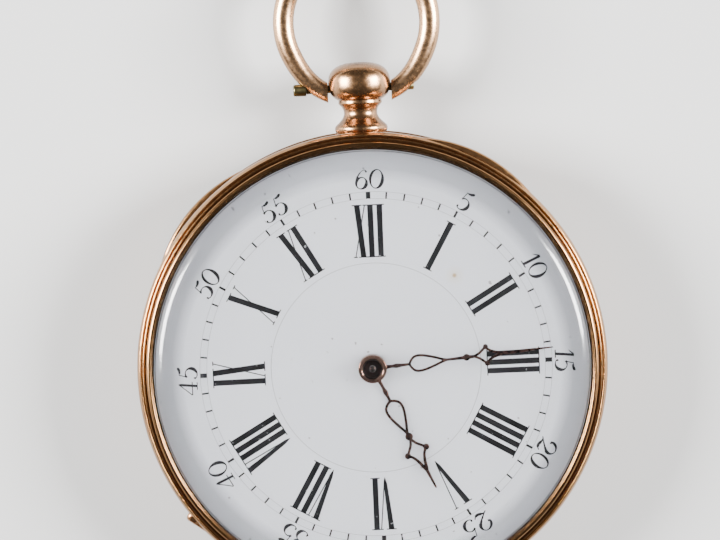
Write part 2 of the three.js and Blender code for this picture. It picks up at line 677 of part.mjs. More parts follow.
function cannonPinion() {
  const leaves = pinion(CANNON_LEAVES, CANNON_MODULE, CENTRE_AT, cannonFirst, [6.68, 6.96]);
  return leaves.add(disc(0.53, 6.68, 9.05, CENTRE_AT, 12)).subtract(disc(0.31, 6, 10, CENTRE_AT, 12));
}

function hourWheel() {
  const teeth = wheel(HOUR_TEETH, HOUR_MODULE, CENTRE_AT, hourFirst, [7.02, 7.2], 0.62);
  return teeth.add(tube(0.92, 0.62, 7.02, 8.56, CENTRE_AT, 16));
}

add('cannon_pinion', cannonPinion(), STEEL);
add('hour_wheel', hourWheel(), BRASS);
add('minute_wheel', wheel(MINUTE_TEETH, CANNON_MODULE, MINUTE_AT, minuteFirst, [6.7, 6.88], 0.3), BRASS);
add('minute_pinion', pinion(MINUTE_LEAVES, HOUR_MODULE, MINUTE_AT, minuteLeafFirst, [6.93, 7.22])
  .subtract(disc(0.26, 6, 8, MINUTE_AT, 8)), STEEL);
add('minute_post', disc(0.2, 6.3, 7.24, MINUTE_AT, 8), STEEL);

// Ratchet and click, on the back of the barrel bridge.
const RATCHET_TEETH = 24;
const RATCHET_Z = [2.4, 2.68];

function ratchetWheel() {
  const outline = [];
  for (let i = 0; i < RATCHET_TEETH; i += 1) {
    const angle = (360 * i) / RATCHET_TEETH;
    outline.push(plus(BARREL_AT, polar(2.35, angle)), plus(BARREL_AT, polar(2.75, angle + 2)));
  }
  return slab(outline, ...RATCHET_Z, [arc(BARREL_AT, 0.86, 0, 337.5, 15)]);
}

function click() {
  const nose = plus(BARREL_AT, polar(2.6, 132));
  return bar(CLICK_AT, 0.45, nose, 0.05, ...RATCHET_Z, 4).subtract(disc(0.24, 2, 3, CLICK_AT, 8));
}

// The click's spring: a tapering strip from its foot on the bridge to the back of the click.
function clickSpring() {
  const foot = plus(BARREL_AT, polar(6.3, 115));
  const end = plus(CLICK_AT, [1.12, 0.2]);
  return bar(foot, 0.4, end, 0.06, ...RATCHET_Z, 4);
}

// ---- plate, bridges and cocks ----

const PIVOT_HOLE_R = 0.22;
const pivotHole = (at, low, high, radius = PIVOT_HOLE_R) => disc(radius, low, high, at, 8);

const SHANK_HOLE_R = 0.5;
const SHANK_R = 0.42;
const HEAD_R = 0.8;
const HEAD_SINK = 0.18;

// A screw's hole through a cock, with the sunk seat of its head.
function screwHole(foot, top) {
  return disc(SHANK_HOLE_R, 0, 7, foot, 8).add(disc(HEAD_R + 0.08, top - 1, top + HEAD_SINK, foot, 12));
}

// A cock: a bar from the arbor to its foot, and the foot's pillar down to the plate.
function cock(at, tipR, foot, footR, z, holeR = PIVOT_HOLE_R) {
  const pillar = disc(footR - 0.02, z[0] + 0.1, PILLAR_TOP, foot, 16);
  const body = bar(foot, footR, at, tipR, z[0], z[1]).add(pillar);
  return less(body, [pivotHole(at, 0, 7, holeR), screwHole(foot, z[0])]);
}

function plateScrew(foot, top) {
  const body = turned([
    [0, top - 0.15], [HEAD_R - 0.08, top - 0.15], [HEAD_R, top - 0.07], [HEAD_R, top + HEAD_SINK - 0.03],
    [SHANK_R, top + HEAD_SINK - 0.03], [SHANK_R, 6.4], [0, 6.4],
  ], 12);
  const slot = box([-1, 1], [-0.09, 0.09], [top - 0.5, top]);
  return body.subtract(slot).translate([...foot, 0]);
}

const CENTRE_FOOT = polar(15.5, -15);
const THIRD_FOOT = polar(15.8, 190);
const FOURTH_FOOT = polar(16, 228);
const ESCAPE_FOOT = plus(ESCAPE_AT, polar(5.6, 262));
const BALANCE_FOOT = plus(BALANCE_AT, polar(8.2, -15));
const BARREL_FEET = [polar(17.4, 28), polar(17.4, 92)];
const ESCAPE_COCK_Z = [3.42, 3.82];
const BALANCE_COCK_Z = [2.2, 2.5];

function barrelBridge() {
  const [one, two] = BARREL_FEET;
  const legs = [one, two].map((foot) => bar(foot, 1.5, BARREL_AT, 3.9, ...BRIDGE_Z, 10));
  const pillars = [one, two].map((foot) => disc(1.48, BRIDGE_Z[0] + 0.1, PILLAR_TOP, foot, 16));
  return less(union([...legs, ...pillars]), [
    disc(0.88, 2, 4, BARREL_AT, 16),
    screwHole(one, BRIDGE_Z[0]), screwHole(two, BRIDGE_Z[0]), pivotHole(CLICK_AT, 2, 4),
  ]);
}

function mainPlate() {
  const base = turned([
    [0, PLATE_Z[0]], [PLATE_R, PLATE_Z[0]], [PLATE_R, 7.25], [18.9, 7.25], [18.9, PLATE_Z[1]],
    [0, PLATE_Z[1]],
  ]);
  const feet = [CENTRE_FOOT, THIRD_FOOT, FOURTH_FOOT, ESCAPE_FOOT, BALANCE_FOOT, ...BARREL_FEET];
  return less(base, [
    disc(8.1, 5, 6.25, BARREL_AT, 32), disc(0.62, 6, 7, BARREL_AT, 12), disc(0.62, 5, 7, CENTRE_AT, 12),
    ...[THIRD_AT, FOURTH_AT, ESCAPE_AT, BALANCE_AT, MINUTE_AT].map((at) => pivotHole(at, 5, 7)),
    ...feet.map((foot) => disc(SHANK_HOLE_R, 5, 7, foot, 8)),
    ...DIAL_FEET.map((a) => disc(0.42, 5, 7, polar(FOOT_R, a), 8)),
  ]);
}

add('main_plate', mainPlate(), GILT);
add('barrel_bridge', barrelBridge(), GILT);
add('centre_cock', cock(CENTRE_AT, 2.0, CENTRE_FOOT, 2.1, BRIDGE_Z, 0.62), GILT);
add('third_cock', cock(THIRD_AT, 1.3, THIRD_FOOT, 1.7, BRIDGE_Z), GILT);
add('fourth_cock', cock(FOURTH_AT, 1.2, FOURTH_FOOT, 1.6, BRIDGE_Z), GILT);
add('escape_cock', cock(ESCAPE_AT, 0.9, ESCAPE_FOOT, 1.1, ESCAPE_COCK_Z), GILT);
add('balance_cock', cock(BALANCE_AT, 2.2, BALANCE_FOOT, 1.9, BALANCE_COCK_Z, 0.5), GILT);

const SCREWS = {
  centre: [CENTRE_FOOT, BRIDGE_Z[0]],
  third: [THIRD_FOOT, BRIDGE_Z[0]],
  fourth: [FOURTH_FOOT, BRIDGE_Z[0]],
  escape: [ESCAPE_FOOT, ESCAPE_COCK_Z[0]],
  balance: [BALANCE_FOOT, BALANCE_COCK_Z[0]],
  barrel_a: [BARREL_FEET[0], BRIDGE_Z[0]],
  barrel_b: [BARREL_FEET[1], BRIDGE_Z[0]],
};
Object.entries(SCREWS).forEach(([name, [foot, top]]) => add(`screw_${name}`, plateScrew(foot, top), BLUED));

add('ratchet_wheel', ratchetWheel(), STEEL);
add('click', click(), STEEL);
add('click_spring', clickSpring(), STEEL);
add('click_screw', disc(0.42, 2.2, 2.38, CLICK_AT, 10).add(disc(0.18, 2.3, 3.2, CLICK_AT, 8)), BLUED);

// ---- balance ----

const BALANCE_R = 6;

function balanceWheel() {
  const rim = slab(
    arc(CENTRE_AT, BALANCE_R, 0, 352.5, 47), 2.8, 3.1,
    [arc(CENTRE_AT, 0.42, 0, 315, 7), ...crossings(CENTRE_AT, 1.2, 5.2, 3, [30, 7])],
  );
  return rim.translate([...BALANCE_AT, 0]);
}

function balanceCylinder() {
  return turned([
    [0, 2.3], [0.14, 2.3], [0.14, 2.52], [0.38, 2.52], [0.38, 5.1], [0.14, 5.1], [0.14, 6.1], [0, 6.1],
  ], 10).translate([...BALANCE_AT, 0]);
}

// A flat spiral strip from the collet to the stud.
function hairspring() {
  const turns = 4;
  const perTurn = 16;
  const inner = [];
  const outer = [];
  for (let i = 0; i <= turns * perTurn; i += 1) {
    const radius = 0.6 + (3 * i) / (turns * perTurn);
    const angle = (360 * i) / perTurn;
    inner.push(polar(radius, angle));
    outer.push(polar(radius + 0.12, angle));
  }
  const strip = slab([...outer, ...inner.reverse()], 2.58, 2.7);
  return strip.translate([...BALANCE_AT, 0]);
}

const STUD_AT = plus(BALANCE_AT, polar(3.95, 0));

function regulator() {
  const level = [2.0, 2.14];
  const spot = (length, degrees) => plus(BALANCE_AT, polar(length, degrees));
  const ring = tube(1.3, 0.75, ...level, BALANCE_AT, 20);
  const pointer = bar(spot(1.2, 160), 0.3, spot(5.2, 160), 0.12, ...level, 3);
  const tail = bar(spot(1.2, 0), 0.3, spot(2.2, 0), 0.25, ...level, 3);
  return union([ring, pointer, tail]);
}

add('balance_wheel', balanceWheel(), BRASS);
add('balance_cylinder', balanceCylinder(), STEEL);
add('hairspring', hairspring(), BLUED);
add('hairspring_stud', disc(0.16, 2.53, 2.74, STUD_AT, 8), STEEL);
add('regulator', regulator(), STEEL);
add('balance_endpiece', disc(0.66, 1.98, 2.17, BALANCE_AT, 12), STEEL);

export default watch;
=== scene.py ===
"""Looks of the open face pocket watch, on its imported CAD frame. Shapes are worked out in millimetres."""

import json
import math

import bpy
from mathutils import Matrix, Vector
from mathutils.geometry import tessellate_polygon


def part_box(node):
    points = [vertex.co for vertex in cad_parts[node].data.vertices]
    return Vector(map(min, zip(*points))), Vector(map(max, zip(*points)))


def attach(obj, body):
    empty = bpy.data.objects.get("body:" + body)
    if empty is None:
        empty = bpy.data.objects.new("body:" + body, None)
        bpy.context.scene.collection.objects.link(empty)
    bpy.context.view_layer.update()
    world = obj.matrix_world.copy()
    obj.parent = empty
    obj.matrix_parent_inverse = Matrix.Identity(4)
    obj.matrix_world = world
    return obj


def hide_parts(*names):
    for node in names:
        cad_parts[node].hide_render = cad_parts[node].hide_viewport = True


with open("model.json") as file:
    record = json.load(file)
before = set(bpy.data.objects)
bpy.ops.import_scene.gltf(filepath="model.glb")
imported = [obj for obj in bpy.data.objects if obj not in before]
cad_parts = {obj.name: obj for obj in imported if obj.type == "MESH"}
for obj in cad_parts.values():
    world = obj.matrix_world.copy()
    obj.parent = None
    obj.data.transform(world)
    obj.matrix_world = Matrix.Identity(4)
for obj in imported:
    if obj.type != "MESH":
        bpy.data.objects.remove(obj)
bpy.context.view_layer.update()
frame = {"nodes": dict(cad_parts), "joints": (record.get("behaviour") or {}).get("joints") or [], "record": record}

MM = 0.001
TURN = 2 * math.pi
FINE = 240          # sides of the large turned pieces
UP = Vector((0, 0, 1))


def low(node, axis):
    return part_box(node)[0][axis] / MM


def high(node, axis):
    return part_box(node)[1][axis] / MM


def joint(name):
    return next(j for j in frame["joints"] if j["name"] == name)


# ---- driving dimensions, from the frame ----

CASE_R = -low("bezel", 0)
BEZEL_TOP = high("bezel", 2)
BEZEL_LOW = 7.35
BEZEL_INNER = 21.0      # clear of the crystal's edge
CRYSTAL_TOP = high("crystal", 2)
BAND_LOW = 2.5
BAND_TOP = 7.3
HINGE_R = Vector(joint("bezel_open")["pos_m"][:2]).length / MM
BEZEL_HINGE_Z = joint("bezel_open")["pos_m"][2] / MM
BACK_HINGE_Z = joint("back_open")["pos_m"][2] / MM
BEZEL_KNUCKLE_R = 0.6
BACK_KNUCKLE_R = 0.55
BEZEL_HINGE_HALF = 7.0      # half the length of each hinge, along its pin
BACK_HINGE_HALF = 6.0
PAST_CASE = 24              # a radius outside everything but the pendant
PIVOT_Y = joint("bow_swing")["pos_m"][1] / MM
PENDANT_Z = joint("bow_swing")["pos_m"][2] / MM
DIAL_R = high("dial_enamel", 0)
DIAL_TOP = high("dial_enamel", 2)
DIAL_LOW = low("dial_enamel", 2)
DIAL_HOLE = 1.2
HOUR_CLOCK = 154.7
MINUTE_CLOCK = 85.8
BALL_R = high("pendant", 0)
BALL_Y = 27.15
BALL_HALF = high("pendant", 1) - BALL_Y
BALL_FULLNESS = 0.77
BOW_Y = 32.95
BOW_R = 7.0
BOW_CHEEK = 3.05
BOW_LEG_OUT = 0.3
BOW_LEG_THIN = 0.12


def heading(name):
    x, y, _ = joint(name)["pos_m"]
    return math.atan2(y, x)


# ---- meshes ----

def new_mesh(name, points, faces, smooth=35):
    mesh = bpy.data.meshes.new(name)
    mesh.from_pydata([(x * MM, y * MM, z * MM) for x, y, z in points], [], faces)
    mesh.validate()
    shade(mesh, smooth)
    thing = bpy.data.objects.new(name, mesh)
    bpy.context.scene.collection.objects.link(thing)
    return thing


def shade(mesh, smooth):
    mesh.polygons.foreach_set("use_smooth", [True] * len(mesh.polygons))
    mesh.set_sharp_from_angle(angle=math.radians(smooth))


def dress(thing, body, look, nodes=()):
    """Gives a piece its material and the body it rides on, and hides the CAD nodes it stands for."""
    thing.data.materials.clear()
    thing.data.materials.append(look)
    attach(thing, body)
    if nodes:
        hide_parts(*nodes)
    return thing


def join_parts(parts):
    """Lists of points and faces put into one pair."""
    points = []
    faces = []
    for some, more in parts:
        start = len(points)
        points.extend(some)
        faces.extend([tuple(i + start for i in face) for face in more])
    return points, faces


def lathe(outline, sides=FINE, along="z", centre=(0, 0, 0)):
    """A turned solid from (radius, height) pairs, anticlockwise, closed or with both ends on the axis."""
    open_ended = outline[0][0] == 0
    points = []
    rings = []
    for radius, height in outline:
        if radius == 0:
            rings.append([len(points)] * sides)
            points.append((0, 0, height))
            continue
        rings.append(list(range(len(points), len(points) + sides)))
        for i in range(sides):
            angle = TURN * i / sides
            points.append((radius * math.cos(angle), radius * math.sin(angle), height))
    pairs = list(zip(rings, rings[1:]))
    if not open_ended:
        pairs.append((rings[-1], rings[0]))
    faces = []
    for one, two in pairs:
        for i in range(sides):
            k = (i + 1) % sides
            face = [one[i], one[k], two[k], two[i]]
            face = [v for n, v in enumerate(face) if v not in face[:n]]
            if len(face) > 2:
                faces.append(tuple(face))
    turned = {
        "x": lambda p: (p[2], p[0], p[1]),
        "y": lambda p: (p[0], p[2], -p[1]),
        "z": lambda p: p,
    }[along]
    points = [tuple(a + b for a, b in zip(turned(p), centre)) for p in points]
    return points, faces


def bend(outline, steps=6):
    """A smooth curve through outline's points, by Catmull-Rom."""
    curve = []
    last = len(outline) - 1
    for i in range(last):
        a, b, c, d = (Vector(outline[min(max(i + k, 0), last)]) for k in (-1, 0, 1, 2))
        for n in range(steps):
            t = n / steps
            square = 2 * a - 5 * b + 4 * c - d
            cube = 3 * b - a - 3 * c + d
            curve.append(tuple(0.5 * (2 * b + (c - a) * t + square * t ** 2 + cube * t ** 3)))
    curve.append(tuple(outline[-1]))
    return curve


def arc(centre, radius, start, end, steps):
    """Points of an arc, with angles in degrees."""
    points = []
    for i in range(steps + 1):
        angle = math.radians(start + (end - start) * i / steps)
        points.append((centre[0] + radius * math.cos(angle), centre[1] + radius * math.sin(angle)))
    return points


def block(x, y, z):
    points = [(a, b, c) for a in x for b in y for c in z]
    faces = [(0, 1, 3, 2), (4, 6, 7, 5), (0, 4, 5, 1), (2, 3, 7, 6), (0, 2, 6, 4), (1, 5, 7, 3)]
    return points, faces


def carve(thing, parts, how="DIFFERENCE", smooth=35):
    """Cuts solids out of a piece, or adds them to it, and applies the result."""
    tool = new_mesh("tool", *join_parts(parts))
    cut = thing.modifiers.new("cut", "BOOLEAN")
    cut.operation = how
    cut.object = tool
    cut.solver = "EXACT"
    graph = bpy.context.evaluated_depsgraph_get()
    result = bpy.data.meshes.new_from_object(thing.evaluated_get(graph))
    thing.modifiers.clear()
    old = thing.data
    thing.data = result
    shade(result, smooth)
    bpy.data.meshes.remove(old)
    bpy.data.objects.remove(tool)


def at_hinge(parts, name):
    """Turns points given along a hinge's own axes (out, along the pin, up) into the watch's."""
    turn = Matrix.Rotation(heading(name), 3, "Z")
    points, faces = parts
    return [tuple(turn @ Vector(p)) for p in points], faces


def knuckle(radius, start, end, z, soft=(0.08, 0.08)):
    """A hinge barrel, with each end rounded over by its own radius."""
    outline = ([(0, start)] + arc((radius - soft[0], start + soft[0]), soft[0], -90, 0, 6)
               + arc((radius - soft[1], end - soft[1]), soft[1], 0, 90, 6) + [(0, end)])
    return lathe(outline, 40, "y", (HINGE_R, 0, z))


# ---- materials ----

def material(name):
    look = bpy.data.materials.new(name)
    look.use_nodes = True
    nodes = look.node_tree.nodes
    return look, nodes, look.node_tree.links, nodes["Principled BSDF"]


def noise(nodes, links, scale, detail=4, rough=0.5, stretch=None):
    """Noise by the object's own coordinates; scale is in features per metre."""
    place = nodes.new("ShaderNodeTexCoord")
    texture = nodes.new("ShaderNodeTexNoise")
    texture.inputs["Scale"].default_value = scale
    texture.inputs["Detail"].default_value = detail
    texture.inputs["Roughness"].default_value = rough
    source = place.outputs["Object"]
    if stretch:
        mapping = nodes.new("ShaderNodeMapping")
        mapping.inputs["Scale"].default_value = stretch
        links.new(source, mapping.inputs["Vector"])
        source = mapping.outputs["Vector"]
    links.new(source, texture.inputs["Vector"])
    return texture.outputs["Fac"]


def spread(nodes, links, source, low_in, high_in, low_out, high_out):
    """An output from low_out to high_out as source goes from low_in to high_in, and level past them."""
    node = nodes.new("ShaderNodeMapRange")
    values = {"From Min": low_in, "From Max": high_in, "To Min": low_out, "To Max": high_out}
    for key, value in values.items():
        node.inputs[key].default_value = value
    links.new(source, node.inputs["Value"])
    return node.outputs["Result"]


def mixed(nodes, links, factor, one, two):
    """A colour between one and two, each a colour or an output."""
    node = nodes.new("ShaderNodeMix")
    node.data_type = "RGBA"
    for socket, value in ((node.inputs[6], one), (node.inputs[7], two)):
        if isinstance(value, tuple):
            socket.default_value = (*value, 1)
        else:
            links.new(value, socket)
    links.new(factor, node.inputs[0])
    return node.outputs[2]


def bumped(nodes, links, shader, height, strength, distance):
    bump = nodes.new("ShaderNodeBump")
    bump.inputs["Strength"].default_value = strength
    bump.inputs["Distance"].default_value = distance
    links.new(height, bump.inputs["Height"])
    links.new(bump.outputs["Normal"], shader.inputs["Normal"])


def axis_distance(nodes, links):
    """How far a point is from the watch's own axis, in metres."""
    place = nodes.new("ShaderNodeTexCoord")
    flat = nodes.new("ShaderNodeVectorMath")
    flat.operation = "MULTIPLY"
    flat.inputs[1].default_value = (1, 1, 0)
    links.new(place.outputs["Object"], flat.inputs[0])
    length = nodes.new("ShaderNodeVectorMath")
    length.operation = "LENGTH"
    links.new(flat.outputs["Vector"], length.inputs[0])
    return length.outputs["Value"]


def metal(name, bright, dull, rough, wear=0.25, grain=2600, stretch=None, drifts=420, shade_radii=None):
    """Polished or ground metal with tarnish in drifts, fine scratches and uneven polish.

    The last argument gives two radii in mm: inside the first the colour is darkened as painted shade, which fades
    out by the second."""
    look, nodes, links, shader = material(name)
    shader.inputs["Metallic"].default_value = 1
    drift = noise(nodes, links, drifts, 3, 0.5)
    amount = spread(nodes, links, drift, 0.35, 0.72, 0, wear)
    colour = mixed(nodes, links, amount, bright, dull)
    # painted shade: the colour darkens towards the watch's axis, inside the given radii
    if shade_radii:
        shade_amount = spread(nodes, links, axis_distance(nodes, links), shade_radii[0] * MM, shade_radii[1] * MM, 0.5, 0)
        colour = mixed(nodes, links, shade_amount, colour, tuple(c * PAINTED_SHADE_DEPTH for c in dull))
    links.new(colour, shader.inputs["Base Color"])
    fine = noise(nodes, links, grain, 3, 0.6, stretch)
    links.new(spread(nodes, links, fine, 0.3, 0.75, rough * 0.85, rough * 1.3), shader.inputs["Roughness"])
    bumped(nodes, links, shader, fine, 0.07, 0.00001)
    return look


def enamel(name):
    """Fired white enamel: a faint ripple, specks, one stain, and a milky glaze."""
    look, nodes, links, shader = material(name)
    cloud = noise(nodes, links, 90, 3)
    white = mixed(nodes, links, cloud, (0.86, 0.88, 0.94), (0.90, 0.915, 0.96))
    specks = spread(nodes, links, noise(nodes, links, 1500, 1), 0.755, 0.79, 0, 0.6)
    spotted = mixed(nodes, links, specks, white, (0.16, 0.14, 0.13))
    place = nodes.new("ShaderNodeTexCoord")
    away = nodes.new("ShaderNodeVectorMath")
    away.operation = "DISTANCE"
    away.inputs[1].default_value = (8.2 * MM, 8.45 * MM, DIAL_TOP * MM)
    links.new(place.outputs["Object"], away.inputs[0])
    halo = spread(nodes, links, away.outputs["Value"], 0.1 * MM, 1.0 * MM, 0.5, 0)
    core = spread(nodes, links, away.outputs["Value"], 0.1 * MM, 0.28 * MM, 0.8, 0)
    stained = mixed(nodes, links, halo, spotted, (0.80, 0.72, 0.56))
    links.new(mixed(nodes, links, core, stained, (0.48, 0.30, 0.10)), shader.inputs["Base Color"])
    ripple = noise(nodes, links, 320, 2)
    links.new(spread(nodes, links, ripple, 0.3, 0.7, 0.07, 0.14), shader.inputs["Roughness"])
    bumped(nodes, links, shader, ripple, 0.1, 0.00005)
    shader.inputs["IOR"].default_value = 1.52
    return look


def ink(name, colour, rough=0.3):
    """Fired printing ink, a little uneven in tone, with pinholes worn through it."""
    look, nodes, links, shader = material(name)
    tone = noise(nodes, links, 3000, 2)
    paler = tuple(min(1, 1.4 * c + 0.005) for c in colour)
    uneven = mixed(nodes, links, spread(nodes, links, tone, 0.35, 0.8, 0, 0.6), colour, paler)
    worn = spread(nodes, links, noise(nodes, links, 2300, 2), 0.70, 0.76, 0, 0.75)
    links.new(mixed(nodes, links, worn, uneven, (0.55, 0.55, 0.57)), shader.inputs["Base Color"])
    shader.inputs["Roughness"].default_value = rough
    return look


def watch_glass(name):
    """Clear crystal with faint dust in its polish, frosted at its bevelled rim and tinted grey there: painted
    shade for the bezel's shadow on the dial's edge below.
    """
    look, nodes, links, shader = material(name)
    length = axis_distance(nodes, links)
    # painted shade: the grey tint from 17.9 to 19.1 mm stands in for the bezel's shadow on the dial's edge
    rim = spread(nodes, links, length, 17.9 * MM, 19.1 * MM, 0, 1)
    colour = mixed(nodes, links, rim, (0.99, 0.995, 1.0), (0.64, 0.645, 0.66))
    links.new(colour, shader.inputs["Base Color"])
    shader.inputs["Transmission Weight"].default_value = 1
    shader.inputs["IOR"].default_value = 1.48
    dust = spread(nodes, links, noise(nodes, links, 700, 6, 0.7), 0.5, 0.8, 0.0, 0.03)
    frost = nodes.new("ShaderNodeMath")
    frost.operation = "ADD"
    links.new(dust, frost.inputs[0])
    links.new(spread(nodes, links, length, 18.6 * MM, 19.6 * MM, 0, 0.16), frost.inputs[1])
    links.new(frost.outputs["Value"], shader.inputs["Roughness"])
    return look


def plain_stage(name, colour, rough):
    look, nodes, links, shader = material(name)
    tone = noise(nodes, links, 14, 4)
    shaded = tuple(c * 0.97 for c in colour)
    links.new(mixed(nodes, links, tone, colour, shaded), shader.inputs["Base Color"])
    shader.inputs["Roughness"].default_value = rough
    return look


# Painted shade: the bezel's gold is darkened inside 21.5 mm, on its inner moulding beside the crystal, fading out
# by 22.2 mm; this is how dark it gets, as a share of the dull colour.
PAINTED_SHADE_DEPTH = 0.35
BEZEL_GOLD = metal("bezel_gold_look", (0.38, 0.205, 0.09), (0.23, 0.11, 0.045), 0.21, 0.7, drifts=110,
                   shade_radii=(21.5, 22.2))
GOLD = metal("rose_gold_look", (0.40, 0.210, 0.092), (0.24, 0.112, 0.045), 0.21, 0.7, drifts=110)
BOW_GOLD = metal("bow_gold_look", (0.43, 0.258, 0.14), (0.29, 0.155, 0.08), 0.25, 0.7, drifts=130)
# Painted shade: the pendant ball's gold is a darker copy of the case's rose gold.
SHADED_BALL_GOLD = metal("pendant_gold_shaded_look", (0.32, 0.178, 0.09), (0.20, 0.10, 0.05), 0.24, 0.7, drifts=150)
GOLD_DULL = metal("rose_gold_dull_look", (0.36, 0.18, 0.085), (0.20, 0.09, 0.04), 0.25, 0.5, drifts=250)
GREEN_BRASS = metal("tarnished_brass_look", (0.115, 0.095, 0.045), (0.05, 0.04, 0.02), 0.32, 0.8)
GILT = metal("gilt_look", (0.83, 0.60, 0.27), (0.60, 0.38, 0.16), 0.36, 0.3, 6000)
BRASS = metal("wheel_brass_look", (0.82, 0.63, 0.28), (0.5, 0.35, 0.14), 0.2, 0.3, 3000, (1, 6, 1))
STEEL = metal("steel_look", (0.58, 0.59, 0.61), (0.35, 0.34, 0.33), 0.2, 0.35, 3000, (5, 1, 1))
BLUED = metal("blued_steel_look", (0.035, 0.07, 0.24), (0.06, 0.03, 0.12), 0.22, 0.5, 3000)
COPPER = metal("copper_look", (0.72, 0.33, 0.19), (0.32, 0.14, 0.09), 0.35, 0.6)
HAND = metal("hand_look", (0.105, 0.055, 0.046), (0.05, 0.03, 0.028), 0.27, 0.7, drifts=700)
# The minute hand's boss: polished smoother than the hands, and its colour painted far brighter than their bronze
# as a painted highlight on its rim.
LIT_BOSS = metal("hand_boss_highlight_look", (0.56, 0.34, 0.26), (0.20, 0.10, 0.08), 0.15, 0.6, drifts=700)
# Painted shade: the hollow of the minute hand's boss is painted near black, darker than the hands' bronze.
SHADED_CUP = metal("hand_cup_shade_look", (0.035, 0.022, 0.02), (0.018, 0.012, 0.011), 0.3, 0.6, drifts=900)
PIN = metal("centre_pin_look", (0.13, 0.10, 0.09), (0.05, 0.04, 0.038), 0.15, 0.5, drifts=900)
ENAMEL = enamel("enamel_look")
INK = ink("dial_ink_look", (0.005, 0.004, 0.006))
FAINT_INK = ink("faint_ink_look", (0.30, 0.29, 0.31))
GLASS = watch_glass("crystal_look")


# ---- case ----

